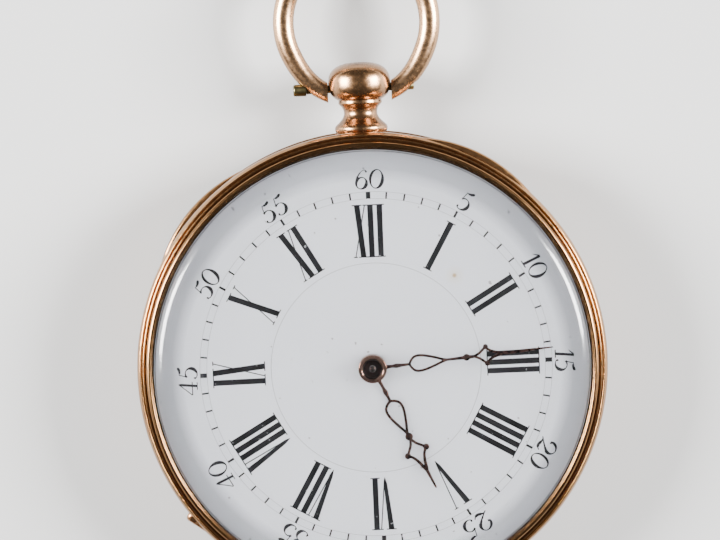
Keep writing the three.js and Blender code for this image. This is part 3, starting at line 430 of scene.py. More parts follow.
def case_pieces():
    bezel_outline = (       # rim, outer bead, inner bead, moulding, and the rebate that holds the crystal
        [(21.4, BEZEL_LOW), (22.2, BEZEL_LOW), (22.32, 7.38)]
        + bend([(22.43, 7.5), (22.5, 7.78), (22.47, 8.1), (22.4, 8.32), (22.29, 8.5)], 4)
        + arc((22.15, 8.56), 0.115, -10, 190, 10)
        + [(22.0, 8.5), (21.96, 8.49)]
        + arc((21.83, 8.64), 0.105, -5, 185, 9)
        + [(21.71, 8.6), (21.68, 8.6)]
        + bend([(21.655, 8.66), (21.62, 8.86), (21.53, 9.05), (21.4, 9.165), (21.28, 9.2), (21.17, 9.175),
                (21.1, 9.11)], 4)
        + [(21.085, 9.06), (21.05, 9.05), (21.01, 9.02), (BEZEL_INNER, 8.96), (BEZEL_INNER, 8.8), (21.4, 8.8)]
    )
    bezel = new_mesh("bezel_ring", *lathe(bezel_outline), 28)
    slot_half = BEZEL_HINGE_HALF + 0.05
    slot = block((20.8, PAST_CASE), (-slot_half, slot_half), (6, 7.97))
    carve(bezel, [at_hinge(slot, "bezel_open")])
    dress(bezel, "front", BEZEL_GOLD, ["bezel"])
    fittings = [knuckle(BEZEL_KNUCKLE_R, 2.4, BEZEL_HINGE_HALF, BEZEL_HINGE_Z, (0.08, 0.4)),
                knuckle(BEZEL_KNUCKLE_R, -BEZEL_HINGE_HALF, -2.4, BEZEL_HINGE_Z, (0.4, 0.08))]
    for strap in ((2.45, 6.6), (-6.6, -2.45)):
        fittings.append(block((21.1, 21.9), strap, (BEZEL_HINGE_Z, 8.15)))
    hinge = new_mesh("bezel_knuckles", *at_hinge(join_parts(fittings), "bezel_open"))
    dress(hinge, "front", GOLD_DULL)
    dress(thumb_lip("bezel_lip", 30, 0.45, 7.45, 8.35, 22.1), "front", GOLD)

    band_outline = (
        bend([(21.75, BAND_LOW), (22.06, 2.95), (22.26, 3.8), (22.35, 4.9), (22.26, 6.0), (22.1, 6.8),
              (21.85, BAND_TOP)], 3)
        + [(21.3, 7.3), (21.3, 7.7), (21.25, 7.75), (21.05, 7.75), (21.0, 7.7), (21.0, 7.2), (20.4, 7.2),
           (20.4, 5.35), (19.7, 5.35), (19.7, 3.6), (20.4, 3.3), (20.4, BAND_LOW)]
    )
    band = new_mesh("case_band", *lathe(band_outline))
    seat_half = BACK_HINGE_HALF + 0.7
    seat = [(0, -seat_half), (0.95, -seat_half), (0.95, seat_half), (0, seat_half)]
    bezel_flat = block((22.0, PAST_CASE), (-BEZEL_HINGE_HALF, BEZEL_HINGE_HALF), (4.6, 9))
    back_flat = block((22.03, PAST_CASE), (-seat_half, seat_half), (2, 4.0))
    carve(band, [at_hinge(block((20.8, PAST_CASE), (-slot_half, slot_half), (6.63, 9)), "bezel_open")])
    carve(band, [at_hinge(lathe(seat, 32, "y", (HINGE_R, 0, BACK_HINGE_Z)), "back_open")])
    carve(band, [at_hinge(bezel_flat, "bezel_open"), at_hinge(back_flat, "back_open")])
    dress(band, "case", GOLD, ["case_middle"])
    fixed = join_parts([
        at_hinge(join_parts([knuckle(BEZEL_KNUCKLE_R, -2.35, 2.35, BEZEL_HINGE_Z),
                             block((20.9, 21.95), (-2.3, 2.3), (6.4, BEZEL_HINGE_Z))]), "bezel_open"),
        at_hinge(join_parts([knuckle(BACK_KNUCKLE_R, -1.2, 1.2, BACK_HINGE_Z),
                             block((20.95, 21.95), (-1.15, 1.15), (BACK_HINGE_Z, 3.7))]), "back_open"),
    ])
    dress(new_mesh("case_knuckles", *fixed), "case", GOLD_DULL)

    back_outline = (
        [(0, 0), (14, 0)]
        + bend([(14.0, 0.0), (16.2, 0.1), (18.3, 0.32), (20.0, 0.72), (21.1, 1.15), (22.05, 1.72),
                (22.4, 2.1), (22.5, 2.3)], 3)[1:]
        + [(22.45, 2.42), (22.35, 2.45), (20.95, 2.45), (20.9, 2.4), (20.9, 1.7)]
        + bend([(20.85, 1.6), (20.0, 1.25), (19.0, 0.97), (17, 0.72), (14, 0.5)], 3) + [(0, 0.5)]
    )
    back = new_mesh("back_shell", *lathe(back_outline))
    carve(back, [at_hinge(block((20.4, PAST_CASE), (-3.25, 3.25), (1.88, 4)), "back_open")])
    carve(back, [at_hinge(block((22.1, PAST_CASE), (-7, 7), (-1, 4)), "back_open")])
    dress(back, "back", GOLD, ["back_cover"])
    outer = [knuckle(BACK_KNUCKLE_R, 3.25, BACK_HINGE_HALF, BACK_HINGE_Z, (0.08, 0.35)),
             knuckle(BACK_KNUCKLE_R, -BACK_HINGE_HALF, -3.25, BACK_HINGE_Z, (0.35, 0.08))]
    hinge = new_mesh("back_knuckles", *at_hinge(join_parts(outer), "back_open"))
    dress(hinge, "back", GOLD_DULL)
    dress(thumb_lip("back_lip", -48, 0.55, 1.45, 2.3, 21.3), "back", GOLD)

    cuvette_outline = [(0, 1.5), (20.1, 1.5), (20.2, 1.6), (20.2, 2.84), (20.14, 2.9), (20.01, 2.9),
                       (19.95, 2.84), (19.95, 1.95), (19.85, 1.85), (0, 1.85)]
    inner = new_mesh("cuvette_tray", *lathe(cuvette_outline))
    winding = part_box("barrel_arbor")
    winding_at = [(winding[0][k] + winding[1][k]) / 2 / MM for k in (0, 1)]
    carve(inner, [lathe([(0, 1), (1.3, 1), (1.3, 3), (0, 3)], 48)])
    carve(inner, [lathe([(0, 1), (1.5, 1), (1.5, 3), (0, 3)], 48, "z", (*winding_at, 0))])
    dress(inner, "inner_back", GOLD, ["cuvette"])
    eyes = [knuckle(BACK_KNUCKLE_R, a, b, BACK_HINGE_Z) for a, b in ((1.25, 3.2), (-3.2, -1.25))]
    eyes += [block((20, 21.3), (a, b), (1.95, 2.3)) for a, b in ((1.3, 3.15), (-3.15, -1.3))]
    dress(new_mesh("cuvette_knuckles", *at_hinge(join_parts(eyes), "back_open")), "inner_back", GOLD_DULL)


def thumb_lip(name, clock, overhang, bottom, top, root):
    """A crescent that stands out past the case: part of a smaller round, rooted in the case's wall."""
    radius = 14.5
    away = CASE_R + overhang - radius
    angle = math.radians(90 - clock)
    middle = (bottom + top) / 2
    half = (top - bottom) / 2
    edge = [(radius - 0.25 + 0.25 * math.cos(math.radians(a)), middle + half * math.sin(math.radians(a)))
            for a in range(-90, 91, 15)]
    outline = [(radius - 1.6, bottom)] + edge + [(radius - 1.6, top)]
    points, faces = lathe(outline, 220, "z", (away * math.cos(angle), away * math.sin(angle), 0))
    lip = new_mesh(name, points, faces)
    carve(lip, [lathe([(0, bottom - 1), (root, bottom - 1), (root, top + 1), (0, top + 1)])])
    return lip


# ---- pendant, bow and its screw ----

def pendant_piece():
    ball = []
    for i in range(40):
        angle = math.radians(-51 + 141 * i / 40)
        rise = math.copysign(abs(math.sin(angle)) ** BALL_FULLNESS, angle)
        ball.append((BALL_R * math.cos(angle) ** BALL_FULLNESS, BALL_Y + BALL_HALF * rise))
    outline = (
        [(0, 21.0), (1.2, 21.0), (1.2, 21.7), (2.1, 21.7)]
        + bend([(2.12, 21.8), (2.2, 22.2), (2.4, 22.42), (2.53, 22.72), (2.5, 22.98), (2.33, 23.2),
                (2.05, 23.46), (1.78, 23.76), (1.64, 24.05), (1.6, 24.3), (1.64, 24.58), (1.78, 24.85),
                (1.98, 25.06)], 5)
        + [(2.04, 25.14), (2.09, 25.2), (2.1, 25.3), (2.06, 25.4)]
        + ball + [(0, BALL_Y + BALL_HALF)]
    )
    pendant = new_mesh("pendant_ball", *lathe(outline, 160, "y", (0, 0, PENDANT_Z)))
    carve(pendant, [lathe([(0, -5), (0.5, -5), (0.5, 5), (0, 5)], 40, "x", (0, PIVOT_Y, PENDANT_Z))])
    dress(pendant, "case", SHADED_BALL_GOLD, ["pendant"])


def bow_piece():
    """A round wire loop whose legs stray out of the circle and thin towards their flat ends."""
    steps = 200
    sides = 40
    points = []
    faces = []
    for i in range(steps + 1):
        turn = -70 + 320 * i / steps
        angle = math.radians(turn)
        near_end = min(max((abs(turn - 90) - 112) / 42, 0), 1)
        ease = near_end ** 2 * (3 - 2 * near_end)
        wire = 1.0 - BOW_LEG_THIN * ease
        for k in range(sides):
            around = TURN * k / sides
            reach = BOW_R + BOW_LEG_OUT * ease + wire * math.cos(around)
            points.append((reach * math.cos(angle), BOW_Y + reach * math.sin(angle),
                           PENDANT_Z + wire * math.sin(around) * 0.98))
    for i in range(steps):
        for k in range(sides):
            n = (k + 1) % sides
            faces.append((i * sides + k, (i + 1) * sides + k, (i + 1) * sides + n, i * sides + n))
    faces.append(tuple(reversed([k for k in range(sides)])))
    faces.append(tuple(steps * sides + k for k in range(sides)))
    bow = new_mesh("bow_wire", points, [tuple(reversed(f)) for f in faces])
    carve(bow, [block((-BOW_CHEEK, BOW_CHEEK), (20, 30), (0, 10))])
    carve(bow, [lathe([(0, -7.5), (0.68, -7.5), (0.68, -5.05), (0.5, -5.05), (0.5, 7.5), (0, 7.5)], 40, "x",
                      (0, PIVOT_Y, PENDANT_Z))])
    dress(bow, "bow_body", BOW_GOLD, ["bow"])


def bow_screw_piece():
    outline = [(0, -6.35), (0.4, -6.35), (0.5, -6.32), (0.56, -6.25), (0.575, -6.15), (0.575, -5.12),
               (0.4, -5.08), (0.4, 5.14), (0.36, 5.2), (0.28, 5.24), (0, 5.24)]
    screw = new_mesh("bow_cross_screw", *lathe(outline, 48, "x", (0, PIVOT_Y, PENDANT_Z)))
    carve(screw, [block((-7, -6.12), (PIVOT_Y - 1, PIVOT_Y + 1), (PENDANT_Z - 0.08, PENDANT_Z + 0.08))])
    dress(screw, "bow_body", GREEN_BRASS, ["bow_screw"])


# ---- crystal ----

def crystal_piece():
    upper = bend([(20.85, 8.78), (20.74, 9.02), (20.58, 9.28), (20.42, 9.45), (20.2, 9.59), (19.9, 9.7),
                  (19.4, 9.8), (17.5, 10.03), (14, 10.37), (9, 10.68), (4.5, 10.86), (0, CRYSTAL_TOP)], 6)
    lower = bend([(0, 10.3), (4.5, 10.24), (9, 10.05), (14, 9.72), (17.5, 9.38), (19.2, 9.16), (20.0, 9.04),
                  (20.35, 8.95), (20.52, 8.78), (20.62, 8.56), (20.78, 8.42)], 6)
    outline = lower + [(21.3, 8.37), (21.32, 8.4), (21.32, 8.7), (21.28, 8.74)] + upper
    outline[0] = (0, 10.3)
    outline[-1] = (0, CRYSTAL_TOP)
    dress(new_mesh("crystal_dome", *lathe(outline)), "front", GLASS, ["crystal"])


# ---- dial ----

DOME = 0.15


def dial_height(radius):
    return DIAL_TOP - DOME * (radius / DIAL_R) ** 2


def dial_piece():
    top = [(DIAL_R * i / 40, dial_height(DIAL_R * i / 40)) for i in range(40, 2, -1)]
    outline = ([(DIAL_HOLE, DIAL_LOW), (DIAL_R - 0.1, DIAL_LOW), (DIAL_R, DIAL_LOW + 0.08)] + top
               + [(DIAL_HOLE + 0.15, DIAL_TOP - 0.01), (DIAL_HOLE, DIAL_TOP - 0.08)])
    dress(new_mesh("dial_disc", *lathe(outline)), "case", ENAMEL, ["dial_enamel"])


class Print:
    """Ink shapes that lie on the dial's dome, gathered into one thin mesh."""

    lift = 0.006
    thick = 0.008
    off_centre = (0.34, -0.02)      # the print sits a little to the right of the hands' axis

    def __init__(self):
        self.parts = []

    def fill(self, outline):
        """One flat shape, given as points on the dial."""
        outline = [(x + self.off_centre[0], y + self.off_centre[1]) for x, y in outline]
        flat = [Vector((x, y, 0)) for x, y in outline]
        tops = [(x, y, dial_height(math.hypot(x, y)) + self.lift + self.thick) for x, y in outline]
        feet = [(x, y, z - self.thick) for x, y, z in tops]
        count = len(outline)
        faces = []
        for tri in tessellate_polygon([flat]):
            a, b, c = (flat[i] for i in tri)
            up = (b - a).cross(c - a).z > 0
            tri = tuple(tri) if up else tuple(reversed(tri))
            faces.append(tri)
            faces.append(tuple(i + count for i in reversed(tri)))
        area = sum(a.x * b.y - b.x * a.y for a, b in zip(flat, flat[1:] + flat[:1]))
        for i in range(count):
            k = (i + 1) % count
            side = (i, i + count, k + count, k)
            faces.append(side if area > 0 else tuple(reversed(side)))
        self.parts.append((tops + feet, faces))

    def stroke(self, line, widths):
        """A pen stroke along a line, as wide at each point as widths says."""
        left = []
        right = []
        for i, (x, y) in enumerate(line):
            before = line[max(i - 1, 0)]
            after = line[min(i + 1, len(line) - 1)]
            run = Vector((after[0] - before[0], after[1] - before[1])).normalized()
            half = widths[i] / 2
            left.append((x - run.y * half, y + run.x * half))
            right.append((x + run.y * half, y - run.x * half))
        for i in range(len(line) - 1):
            self.fill([left[i], left[i + 1], right[i + 1], right[i]])

    def ring(self, radius, width, sides=180):
        edge = [(TURN * i / sides) for i in range(sides)]
        for a, b in zip(edge, edge[1:] + edge[:1]):
            self.fill([((radius + s) * math.cos(t), (radius + s) * math.sin(t))
                       for t, s in ((a, 0), (b, 0), (b, width), (a, width))])

    def make(self, name, look):
        dress(new_mesh(name, *join_parts(self.parts)), "case", look)


# Where each numeral's strokes stand, in mm across it: the upright stems, then the outer and inner ends of
# a V's or an X's heavy stroke and of its light one. A V's light stroke ends on its heavy one.
ROMANS = {
    1: ([0], None, None),
    2: ([-0.36, 0.52], None, None),
    3: ([-0.82, 0, 0.82], None, None),
    4: ([-1.28, -0.44, 0.40, 1.24], None, None),
    5: ([], (-0.44, 0.08), (0.81, None)),
    6: ([0.62], (-0.77, -0.36), (0.20, None)),
    7: ([-0.18, 0.73], (-1.50, -0.95), (-0.74, None)),
    8: ([-0.38, 0.42, 1.25], (-1.75, -1.31), (-1.03, None)),
    9: ([-0.76], (0.15, 0.68), (1.09, -0.30)),
    10: ([], (-0.47, 0.32), (0.62, -0.70)),
    11: ([0.55], (-0.81, -0.36), (0.06, -1.19)),
    12: ([0.13, 1.00], (-1.12, -0.68), (-0.38, -1.46)),
}
ROMAN_IN = 10.57
ROMAN_OUT = 15.6
STEM = 0.53
HAIR = 0.10
SERIF = 0.10
SERIF_REACH = 0.2           # past the stroke it ends
FAN = 0.08
APEX = (0.34, 0.05)         # how wide a V's heavy stroke is where it starts to taper, and at its foot


def roman_numerals(sheet):
    for hour, (stems, heavy, light) in ROMANS.items():
        turn = math.radians(90 - 30 * hour)
        out = Vector((math.cos(turn), math.sin(turn)))
        side = Vector((out.y, -out.x))

        def spot(across, share):
            """A point of the numeral, mm across it and 0 to 1 from its inner to its outer end."""
            radius = ROMAN_IN + (ROMAN_OUT - ROMAN_IN) * share
            fan = (radius / 13.1) ** FAN
            return tuple(out * radius + side * across * fan)

        def bar(inner, outer, inner_w, outer_w, share=(0, 1)):
            sheet.fill([spot(inner - inner_w / 2, share[0]), spot(outer - outer_w / 2, share[1]),
                        spot(outer + outer_w / 2, share[1]), spot(inner + inner_w / 2, share[0])])

        def serif(start, end, share):
            thick = SERIF / (ROMAN_OUT - ROMAN_IN)
            near = (0, thick) if share == 0 else (1 - thick, 1)
            sheet.fill([spot(start, near[0]), spot(start, near[1]), spot(end, near[1]), spot(end, near[0])])

        reach = STEM / 2 + SERIF_REACH
        for stem in stems:
            bar(stem, stem, STEM, STEM)
        if stems:
            for share in (0, 1):
                serif(stems[0] - reach, stems[-1] + reach, share)
        if not heavy:
            continue
        serif(heavy[0] - reach, heavy[0] + reach, 1)
        beyond = min(stems) if stems and min(stems) > light[0] else light[0] + SERIF_REACH
        serif(light[0] - SERIF_REACH, beyond, 1)
        if light[1] is None:
            bar(heavy[1], heavy[0], APEX[0], STEM, (0.12, 1))
            bar(heavy[1] + 0.04, heavy[1], APEX[1], APEX[0], (0, 0.12))
            bar(heavy[1] + 0.08, light[0], HAIR, HAIR, (0.05, 1))
        else:
            bar(heavy[1], heavy[0], STEM, STEM)
            bar(light[1], light[0], HAIR, HAIR)
            serif(heavy[1] - reach, heavy[1] + reach, 0)
            serif(light[1] - SERIF_REACH, light[1] + SERIF_REACH, 0)


# The figures, drawn with a pen in a box one high: each stroke is (x, y, width) points.
THIN = 0.048
THICK = 0.18
STRESS = -22        # where an oval is thickest, in degrees


def oval(centre, size, start, end, steps=18):
    """A pen stroke along an oval, thick on the right below the middle and on the left above it."""
    points = []
    for i in range(steps + 1):
        turn = start + (end - start) * i / steps
        angle = math.radians(turn)
        press = abs(math.cos(math.radians(turn - STRESS))) ** 2.2
        if math.cos(math.radians(turn - STRESS)) < 0:
            press *= 0.72
        width = THIN + (THICK - THIN) * press
        points.append((centre[0] + size[0] * math.cos(angle), centre[1] + size[1] * math.sin(angle), width))
    return points


def drop(x, y):
    """The round blob that ends a figure's stroke."""
    widths = ((-0.05, 0.02), (-0.03, 0.10), (0, 0.13), (0.03, 0.10), (0.05, 0.02))
    return [(x + along, y, width) for along, width in widths]


FIGURES = {
    "0": (0.76, [oval((0.38, 0.5), (0.325, 0.485), 0, 360, 32)]),
    "1": (0.44, [[(0.26, 0.02, 0.15), (0.26, 0.5, 0.14), (0.26, 1.0, 0.15)],
                 [(0.0, 0.72, 0.03), (0.08, 0.80, 0.06), (0.19, 0.95, 0.10)],
                 [(0.05, 0.02, 0.06), (0.47, 0.02, 0.06)]]),
    "2": (0.80, [oval((0.35, 0.70), (0.30, 0.29), 208, -38, 22), drop(0.13, 0.59),
                 [(0.58, 0.53, 0.13), (0.45, 0.38, 0.09), (0.25, 0.20, 0.06), (0.06, 0.05, THIN)],
                 [(0.05, 0.04, 0.05), (0.18, 0.12, 0.09), (0.36, 0.08, 0.15), (0.54, 0.03, 0.15),
                  (0.69, 0.08, 0.06), (0.76, 0.19, 0.035)]]),
    "3": (0.62, [oval((0.29, 0.77), (0.20, 0.21), 165, -80, 14),
                 oval((0.29, 0.29), (0.27, 0.28), 85, -155, 18), drop(0.12, 0.80), drop(0.08, 0.16)]),
    "4": (0.76, [[(0.50, 0.0, 0.13), (0.50, 0.5, 0.13), (0.50, 1.0, 0.07)],
                 [(0.49, 0.98, THIN), (0.26, 0.64, THIN), (0.0, 0.30, THIN)],
                 [(0.0, 0.28, 0.05), (0.70, 0.28, 0.05)], [(0.30, 0.02, 0.05), (0.70, 0.02, 0.05)]]),
    "5": (0.68, [[(0.20, 0.96, 0.04), (0.30, 0.93, 0.11), (0.44, 0.94, 0.14), (0.60, 1.02, 0.03)],
                 [(0.20, 0.96, THIN), (0.13, 0.52, THIN)],
                 oval((0.30, 0.31), (0.30, 0.31), 130, -140, 22), drop(0.10, 0.12)]),
    "6": (0.68, [[(0.56, 0.86, 0.09), (0.50, 0.97, 0.04), (0.38, 0.98, 0.03), (0.22, 0.84, 0.07),
                  (0.11, 0.62, 0.12), (0.07, 0.38, 0.14)],
                 oval((0.335, 0.31), (0.27, 0.30), 0, 360, 28)]),
}
OVAL_LEAST = 10             # strokes with fewer points are smoothed, and ovals are smooth already
FIGURE_HIGH = 1.82
FIGURE_GAP = 0.05
FIGURE_MIDDLE = 18.0
SLANT = 0.1
# The figures were painted by eye: how far each stands off its tick, in mm clockwise.
STRAY = {5: 0.26, 15: 0.15, 35: -0.40, 40: -0.75, 45: -0.42, 50: -0.2, 60: 0.2}


def minute_figures(sheet):
    for minute in range(5, 65, 5):
        turn = math.radians(90 - 6 * minute)
        out = Vector((math.cos(turn), math.sin(turn)))
        side = Vector((out.y, -out.x))
        text = str(minute)
        width = sum(FIGURES[c][0] for c in text) + FIGURE_GAP * (len(text) - 1)
        at = -width / 2
        for c in text:
            for stroke in FIGURES[c][1]:
                line = [(x, y) for x, y, _ in stroke]
                if len(stroke) < OVAL_LEAST:
                    line = bend(line, 3)
                wide = [w for _, _, w in stroke]
                widths = [wide[min(int(i * (len(wide) - 1) / (len(line) - 1)), len(wide) - 1)]
                          for i in range(len(line))]
                placed = []
                for x, y in line:
                    across = (at + x + SLANT * (y - 0.5)) * FIGURE_HIGH + STRAY.get(minute, 0)
                    placed.append(tuple(out * (FIGURE_MIDDLE + (y - 0.5) * FIGURE_HIGH) + side * across))
                sheet.stroke(placed, [w * FIGURE_HIGH for w in widths])
            at += FIGURES[c][0] + FIGURE_GAP


TRACK = (16.15, 16.8)       # inner and outer edge of the minute track
INNER_RING_R = 10.0


def minute_track(sheet, faint):
    faint.ring(INNER_RING_R, 0.04)
    faint.ring(TRACK[0] - 0.02, 0.03)
    faint.ring(TRACK[1] - 0.01, 0.03)
    for minute in range(60):
        turn = math.radians(90 - 6 * minute)
        out = Vector((math.cos(turn), math.sin(turn)))
        width = 0.43 if minute % 15 == 0 else 0.22 if minute % 5 == 0 else 0.16
        line = [tuple(out * TRACK[0]), tuple(out * TRACK[1])]
        sheet.stroke(line, [width, width])


def dial_printing():
    sheet = Print()
    roman_numerals(sheet)
    minute_figures(sheet)
    faint = Print()
    minute_track(sheet, faint)
    sheet.make("dial_print", INK)
    faint.make("dial_faint_lines", FAINT_INK)


# ---- hands ----

def ribbon(line, widths, bottom, top):
    """A solid strip along a line with its upper edges rounded over."""
    half = [(0.5, 0), (0.5, 0.45), (0.36, 0.85), (0.12, 1)]
    section = [(-across, rise) for across, rise in half] + half[::-1]
    count = len(section)
    points = []
    for i, (x, y) in enumerate(line):
        before = line[max(i - 1, 0)]
        after = line[min(i + 1, len(line) - 1)]
        run = Vector((after[0] - before[0], after[1] - before[1])).normalized()
        for across, rise in section:
            offset = -across * widths[i]
            points.append((x - run.y * offset, y + run.x * offset, bottom + (top - bottom) * rise))
    faces = []
    for i in range(len(line) - 1):
        for k in range(count):
            n = (k + 1) % count
            faces.append((i * count + k, i * count + n, (i + 1) * count + n, (i + 1) * count + k))
    faces.append(tuple(range(count)))
    faces.append(tuple(reversed([(len(line) - 1) * count + k for k in range(count)])))
    return points, [tuple(reversed(f)) for f in faces]


def button(at, radius, bottom, top):
    outline = [(0, bottom), (radius, bottom), (radius, bottom + (top - bottom) * 0.5),
               (radius * 0.8, bottom + (top - bottom) * 0.88), (radius * 0.4, top), (0, top + 0.01)]
    return lathe(outline, 32, "z", (*at, 0))


def strip(spine, bottom, top, steps=5):
    """A ribbon along (x, y, width) points."""
    smooth = bend(spine, steps)
    return ribbon([(x, y) for x, y, _ in smooth], [w for _, _, w in smooth], bottom, top)


def hand_parts(size, bottom, top):
    """An openwork hand that points along +Y: a stalk, a pear-shaped loop, a ball, a diamond and a blade."""
    loop_in, loop_out = size["loop"]
    neck, level, meet = size["diamond"]
    wire = size["wire"]
    rod = size["rod"]
    swell = size["swell"]
    ball = size["ball"]
    ball_r = size["ball_r"]
    reach = size["side"]
    tip = size["tip"]
    wide = size["loop_width"] / 2 - wire / 2
    long = loop_out - loop_in
    stalk = [(0, 1.1, 0.55), (0, 1.5, 0.36), (0, swell - 0.4, 0.3), (0, swell, size["swell_width"]),
             (0, swell + 0.5, 0.3), (0, loop_in, wire), (0, loop_in + 0.1, wire)]
    parts = [strip(stalk, bottom, top)]
    for side in (-1, 1):
        # A loop's side, by its share of the loop's half width and of its length.
        shares = [(0.45, 0.06), (0.86, 0.15), (1, 0.28), (0.88, 0.47), (0.5, 0.74), (0.16, 0.94)]
        loop = [(side * wide * across, loop_in + long * up, wire) for across, up in shares]
        loop = [(0, loop_in + 0.04, wire)] + loop + [(0, loop_out + 0.25, wire)]
        parts.append(strip(loop, bottom, top))
        lower = [(0, neck - 0.1, wire), (side * reach * 0.3, neck + (level - neck) * 0.38, wire),
                 (side * reach * 0.68, neck + (level - neck) * 0.72, wire), (side * reach, level, wire)]
        parts.append(strip(lower, bottom, top))
        upper = [(side * reach, level, wire), (side * reach * 0.62, level + (meet - level) * 0.2, wire),
                 (side * reach * 0.33, level + (meet - level) * 0.52, wire * 1.1),
                 (side * 0.04, meet + 0.1, wire * 1.3)]
        parts.append(strip(upper, bottom, top))
        parts.append(button((side * reach, level), size["side_ball"], bottom, top))
    middle = [(0, loop_out - 0.1, wire), (0, (loop_out + ball) / 2, rod), (0, ball - ball_r, rod * 1.25),
              (0, ball, rod * 1.5), (0, ball + ball_r, rod * 1.25), (0, neck, rod)]
    parts.append(strip(middle, bottom, top))
    parts.append(button((0, ball), ball_r, bottom, top))
    blade = [(0, meet - 0.15, 0.2), (0, meet + 0.25, size["blade"]),
             (0, meet + (tip - meet) * 0.4, size["blade"] * 0.86), (0, tip - 0.2, size["point"]),
             (0, tip, size["point"] * 0.5)]
    parts.append(strip(blade, bottom, top))
    return parts


# Places along each hand and sizes across it. diamond is where it starts, is widest, and closes.
HOUR_SIZE = dict(
    swell=2.6, swell_width=0.46, loop=(3.55, 6.95), loop_width=1.86, wire=0.26, rod=0.27,
    ball=7.44, ball_r=0.37, diamond=(7.8, 9.05, 10.9), side=0.98, side_ball=0.3,
    blade=0.32, tip=13.0, point=0.2,
)
MINUTE_SIZE = dict(
    swell=2.3, swell_width=0.42, loop=(3.5, 6.9), loop_width=1.71, wire=0.24, rod=0.27,
    ball=9.0, ball_r=0.33, diamond=(9.8, 10.9, 12.2), side=0.8, side_ball=0.24,
    blade=0.34, tip=17.2, point=0.14,
)
HOUR_HAND_Z = (8.32, 8.46)
MINUTE_HAND_Z = (8.87, 9.0)


def turned_to(parts, clock):
    turn = Matrix.Rotation(-math.radians(clock), 3, "Z")
    points, faces = parts
    return [tuple(turn @ Vector(p)) for p in points], faces


def hand_pieces():
    hour = hand_parts(HOUR_SIZE, *HOUR_HAND_Z)
    eye = [(0.98, 8.2), (1.3, 8.2), (1.35, 8.26), (1.35, 8.48), (1.28, 8.55), (0.98, 8.55)]
    hour.append(lathe(eye, 72))
    hand = new_mesh("hour_hand_fine", *turned_to(join_parts(hour), HOUR_CLOCK))
    dress(hand, "hours", HAND, ["hour_hand"])
    minute = hand_parts(MINUTE_SIZE, *MINUTE_HAND_Z)
    collar = ([(0.6, 8.75), (1.28, 8.75), (1.36, 8.83), (1.36, 9.3)] + arc((1.24, 9.38), 0.12, 0, 90, 5)
              + [(1.1, 9.5), (1.02, 9.47), (0.94, 9.37), (0.89, 9.25), (0.87, 9.0), (0.6, 9.0)])
    cup = bend([(0.87, 9.22), (0.84, 9.15), (0.76, 9.11), (0.6, 9.09), (0.34, 9.1)], 3)
    hand = new_mesh("minute_hand_fine", *turned_to(join_parts(minute), MINUTE_CLOCK))
    dress(hand, "setting", HAND, ["minute_hand"])
    boss = new_mesh("minute_hand_boss", *lathe(collar, 96))
    dress(boss, "setting", LIT_BOSS)
    # the boss's hollow, painted near black as shade
    floor = new_mesh("minute_hand_cup", *lathe(cup + [(0.33, 9.06), (0.8, 9.06)], 72))
    dress(floor, "setting", SHADED_CUP)
    top = high("setting_arbor", 2)
    tip = lathe([(0, top), (0.27, top), (0.28, top + 0.02), (0.21, top + 0.08), (0.1, top + 0.11),
                 (0, top + 0.12)], 48)
    dress(new_mesh("centre_pin_tip", *tip), "setting", PIN)


# ---- the movement keeps its CAD shapes ----

FINISHES = {
    "gilt_brass": GILT, "brass": BRASS, "steel": STEEL, "blued_steel": BLUED, "copper": COPPER,
    "rose_gold": GOLD, "enamel": ENAMEL, "watch_glass": GLASS, "hand_bronze": HAND,
}


def finish_cad_nodes():
    slots = {part["node"]: part["material_slot"] for part in frame["record"]["subparts"]}
    for name, thing in frame["nodes"].items():
        look = PIN if name == "setting_arbor" else FINISHES[slots[name]]
        for slot in thing.material_slots:
            slot.material = look


# ---- stage, lights and camera ----

FLOOR_HALF = 700


def stage():
    points, faces = block((-FLOOR_HALF, FLOOR_HALF), (-FLOOR_HALF, FLOOR_HALF), (-4, 0))
    floor = new_mesh("floor", points, faces)
    floor.data.materials.append(plain_stage("floor_look", (0.34, 0.34, 0.34), 0.6))
    floor.location.z = low("back_cover", 2) * MM


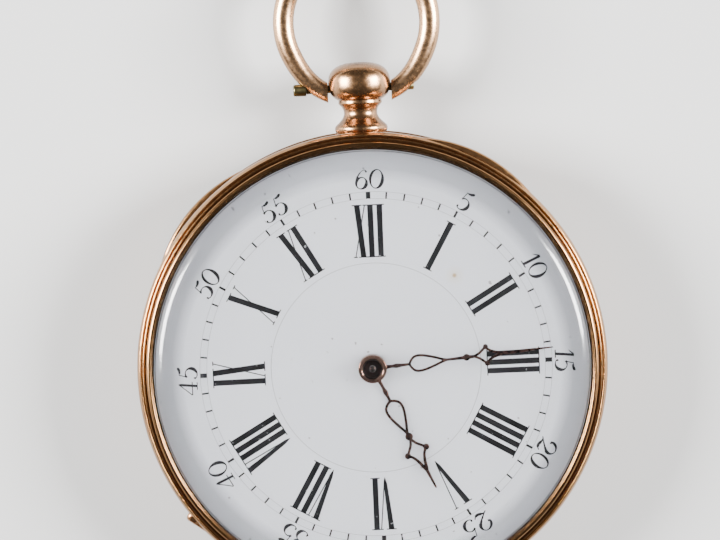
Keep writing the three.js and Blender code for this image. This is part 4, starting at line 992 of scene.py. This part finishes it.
BOX_AWAY = 430
BOX_SIZE = (190, 250)
BOX_POWER = 19.5


def softbox(name, place, size, power, colour):
    light = bpy.data.lights.new(name, "AREA")
    light.shape = "RECTANGLE"
    light.size = size[0] * MM
    light.size_y = size[1] * MM
    light.energy = power
    light.color = colour
    thing = bpy.data.objects.new(name, light)
    thing.location = Vector(place) * MM
    thing.rotation_euler = (Vector((0, 5, 5)) * MM - thing.location).to_track_quat("-Z", "Y").to_euler()
    bpy.context.scene.collection.objects.link(thing)


def lights():
    for name, across in (("left_box", -BOX_AWAY), ("right_box", BOX_AWAY)):
        softbox(name, (across, 95, 270), BOX_SIZE, BOX_POWER, (1.0, 0.995, 0.985))
    world = bpy.data.worlds.new("studio")
    world.use_nodes = True
    sky = world.node_tree.nodes["Background"]
    sky.inputs["Color"].default_value = (0.86, 0.86, 0.86, 1)
    sky.inputs["Strength"].default_value = 0.13
    bpy.context.scene.world = world


VIEW_WIDE = 68.4
VIEW_AWAY = 330
VIEW_TILT = math.radians(4)
VIEW_ROLL = math.radians(2.7)


def camera():
    """From almost straight above, a little from the 12 o'clock side, with the watch turned a little."""
    up = Vector((math.sin(VIEW_ROLL), math.cos(VIEW_ROLL), 0))
    right = Vector((up.y, -up.x, 0))
    target = Vector((0, 0, BEZEL_TOP)) - 1.2 * right + 9.42 * up
    towards = up * math.sin(VIEW_TILT) + UP * math.cos(VIEW_TILT)
    data = bpy.data.cameras.new("camera")
    data.sensor_width = 36
    data.lens = 36 * VIEW_AWAY / VIEW_WIDE
    data.clip_start = 0.01
    data.clip_end = 10
    thing = bpy.data.objects.new("camera", data)
    above = towards.cross(right)
    turn = Matrix((right, above, towards)).transposed()
    thing.matrix_world = Matrix.Translation((target + towards * VIEW_AWAY) * MM) @ turn.to_4x4()
    bpy.context.scene.collection.objects.link(thing)
    bpy.context.scene.camera = thing


finish_cad_nodes()
case_pieces()
pendant_piece()
bow_piece()
bow_screw_piece()
crystal_piece()
dial_piece()
dial_printing()
hand_pieces()
stage()
lights()
camera()
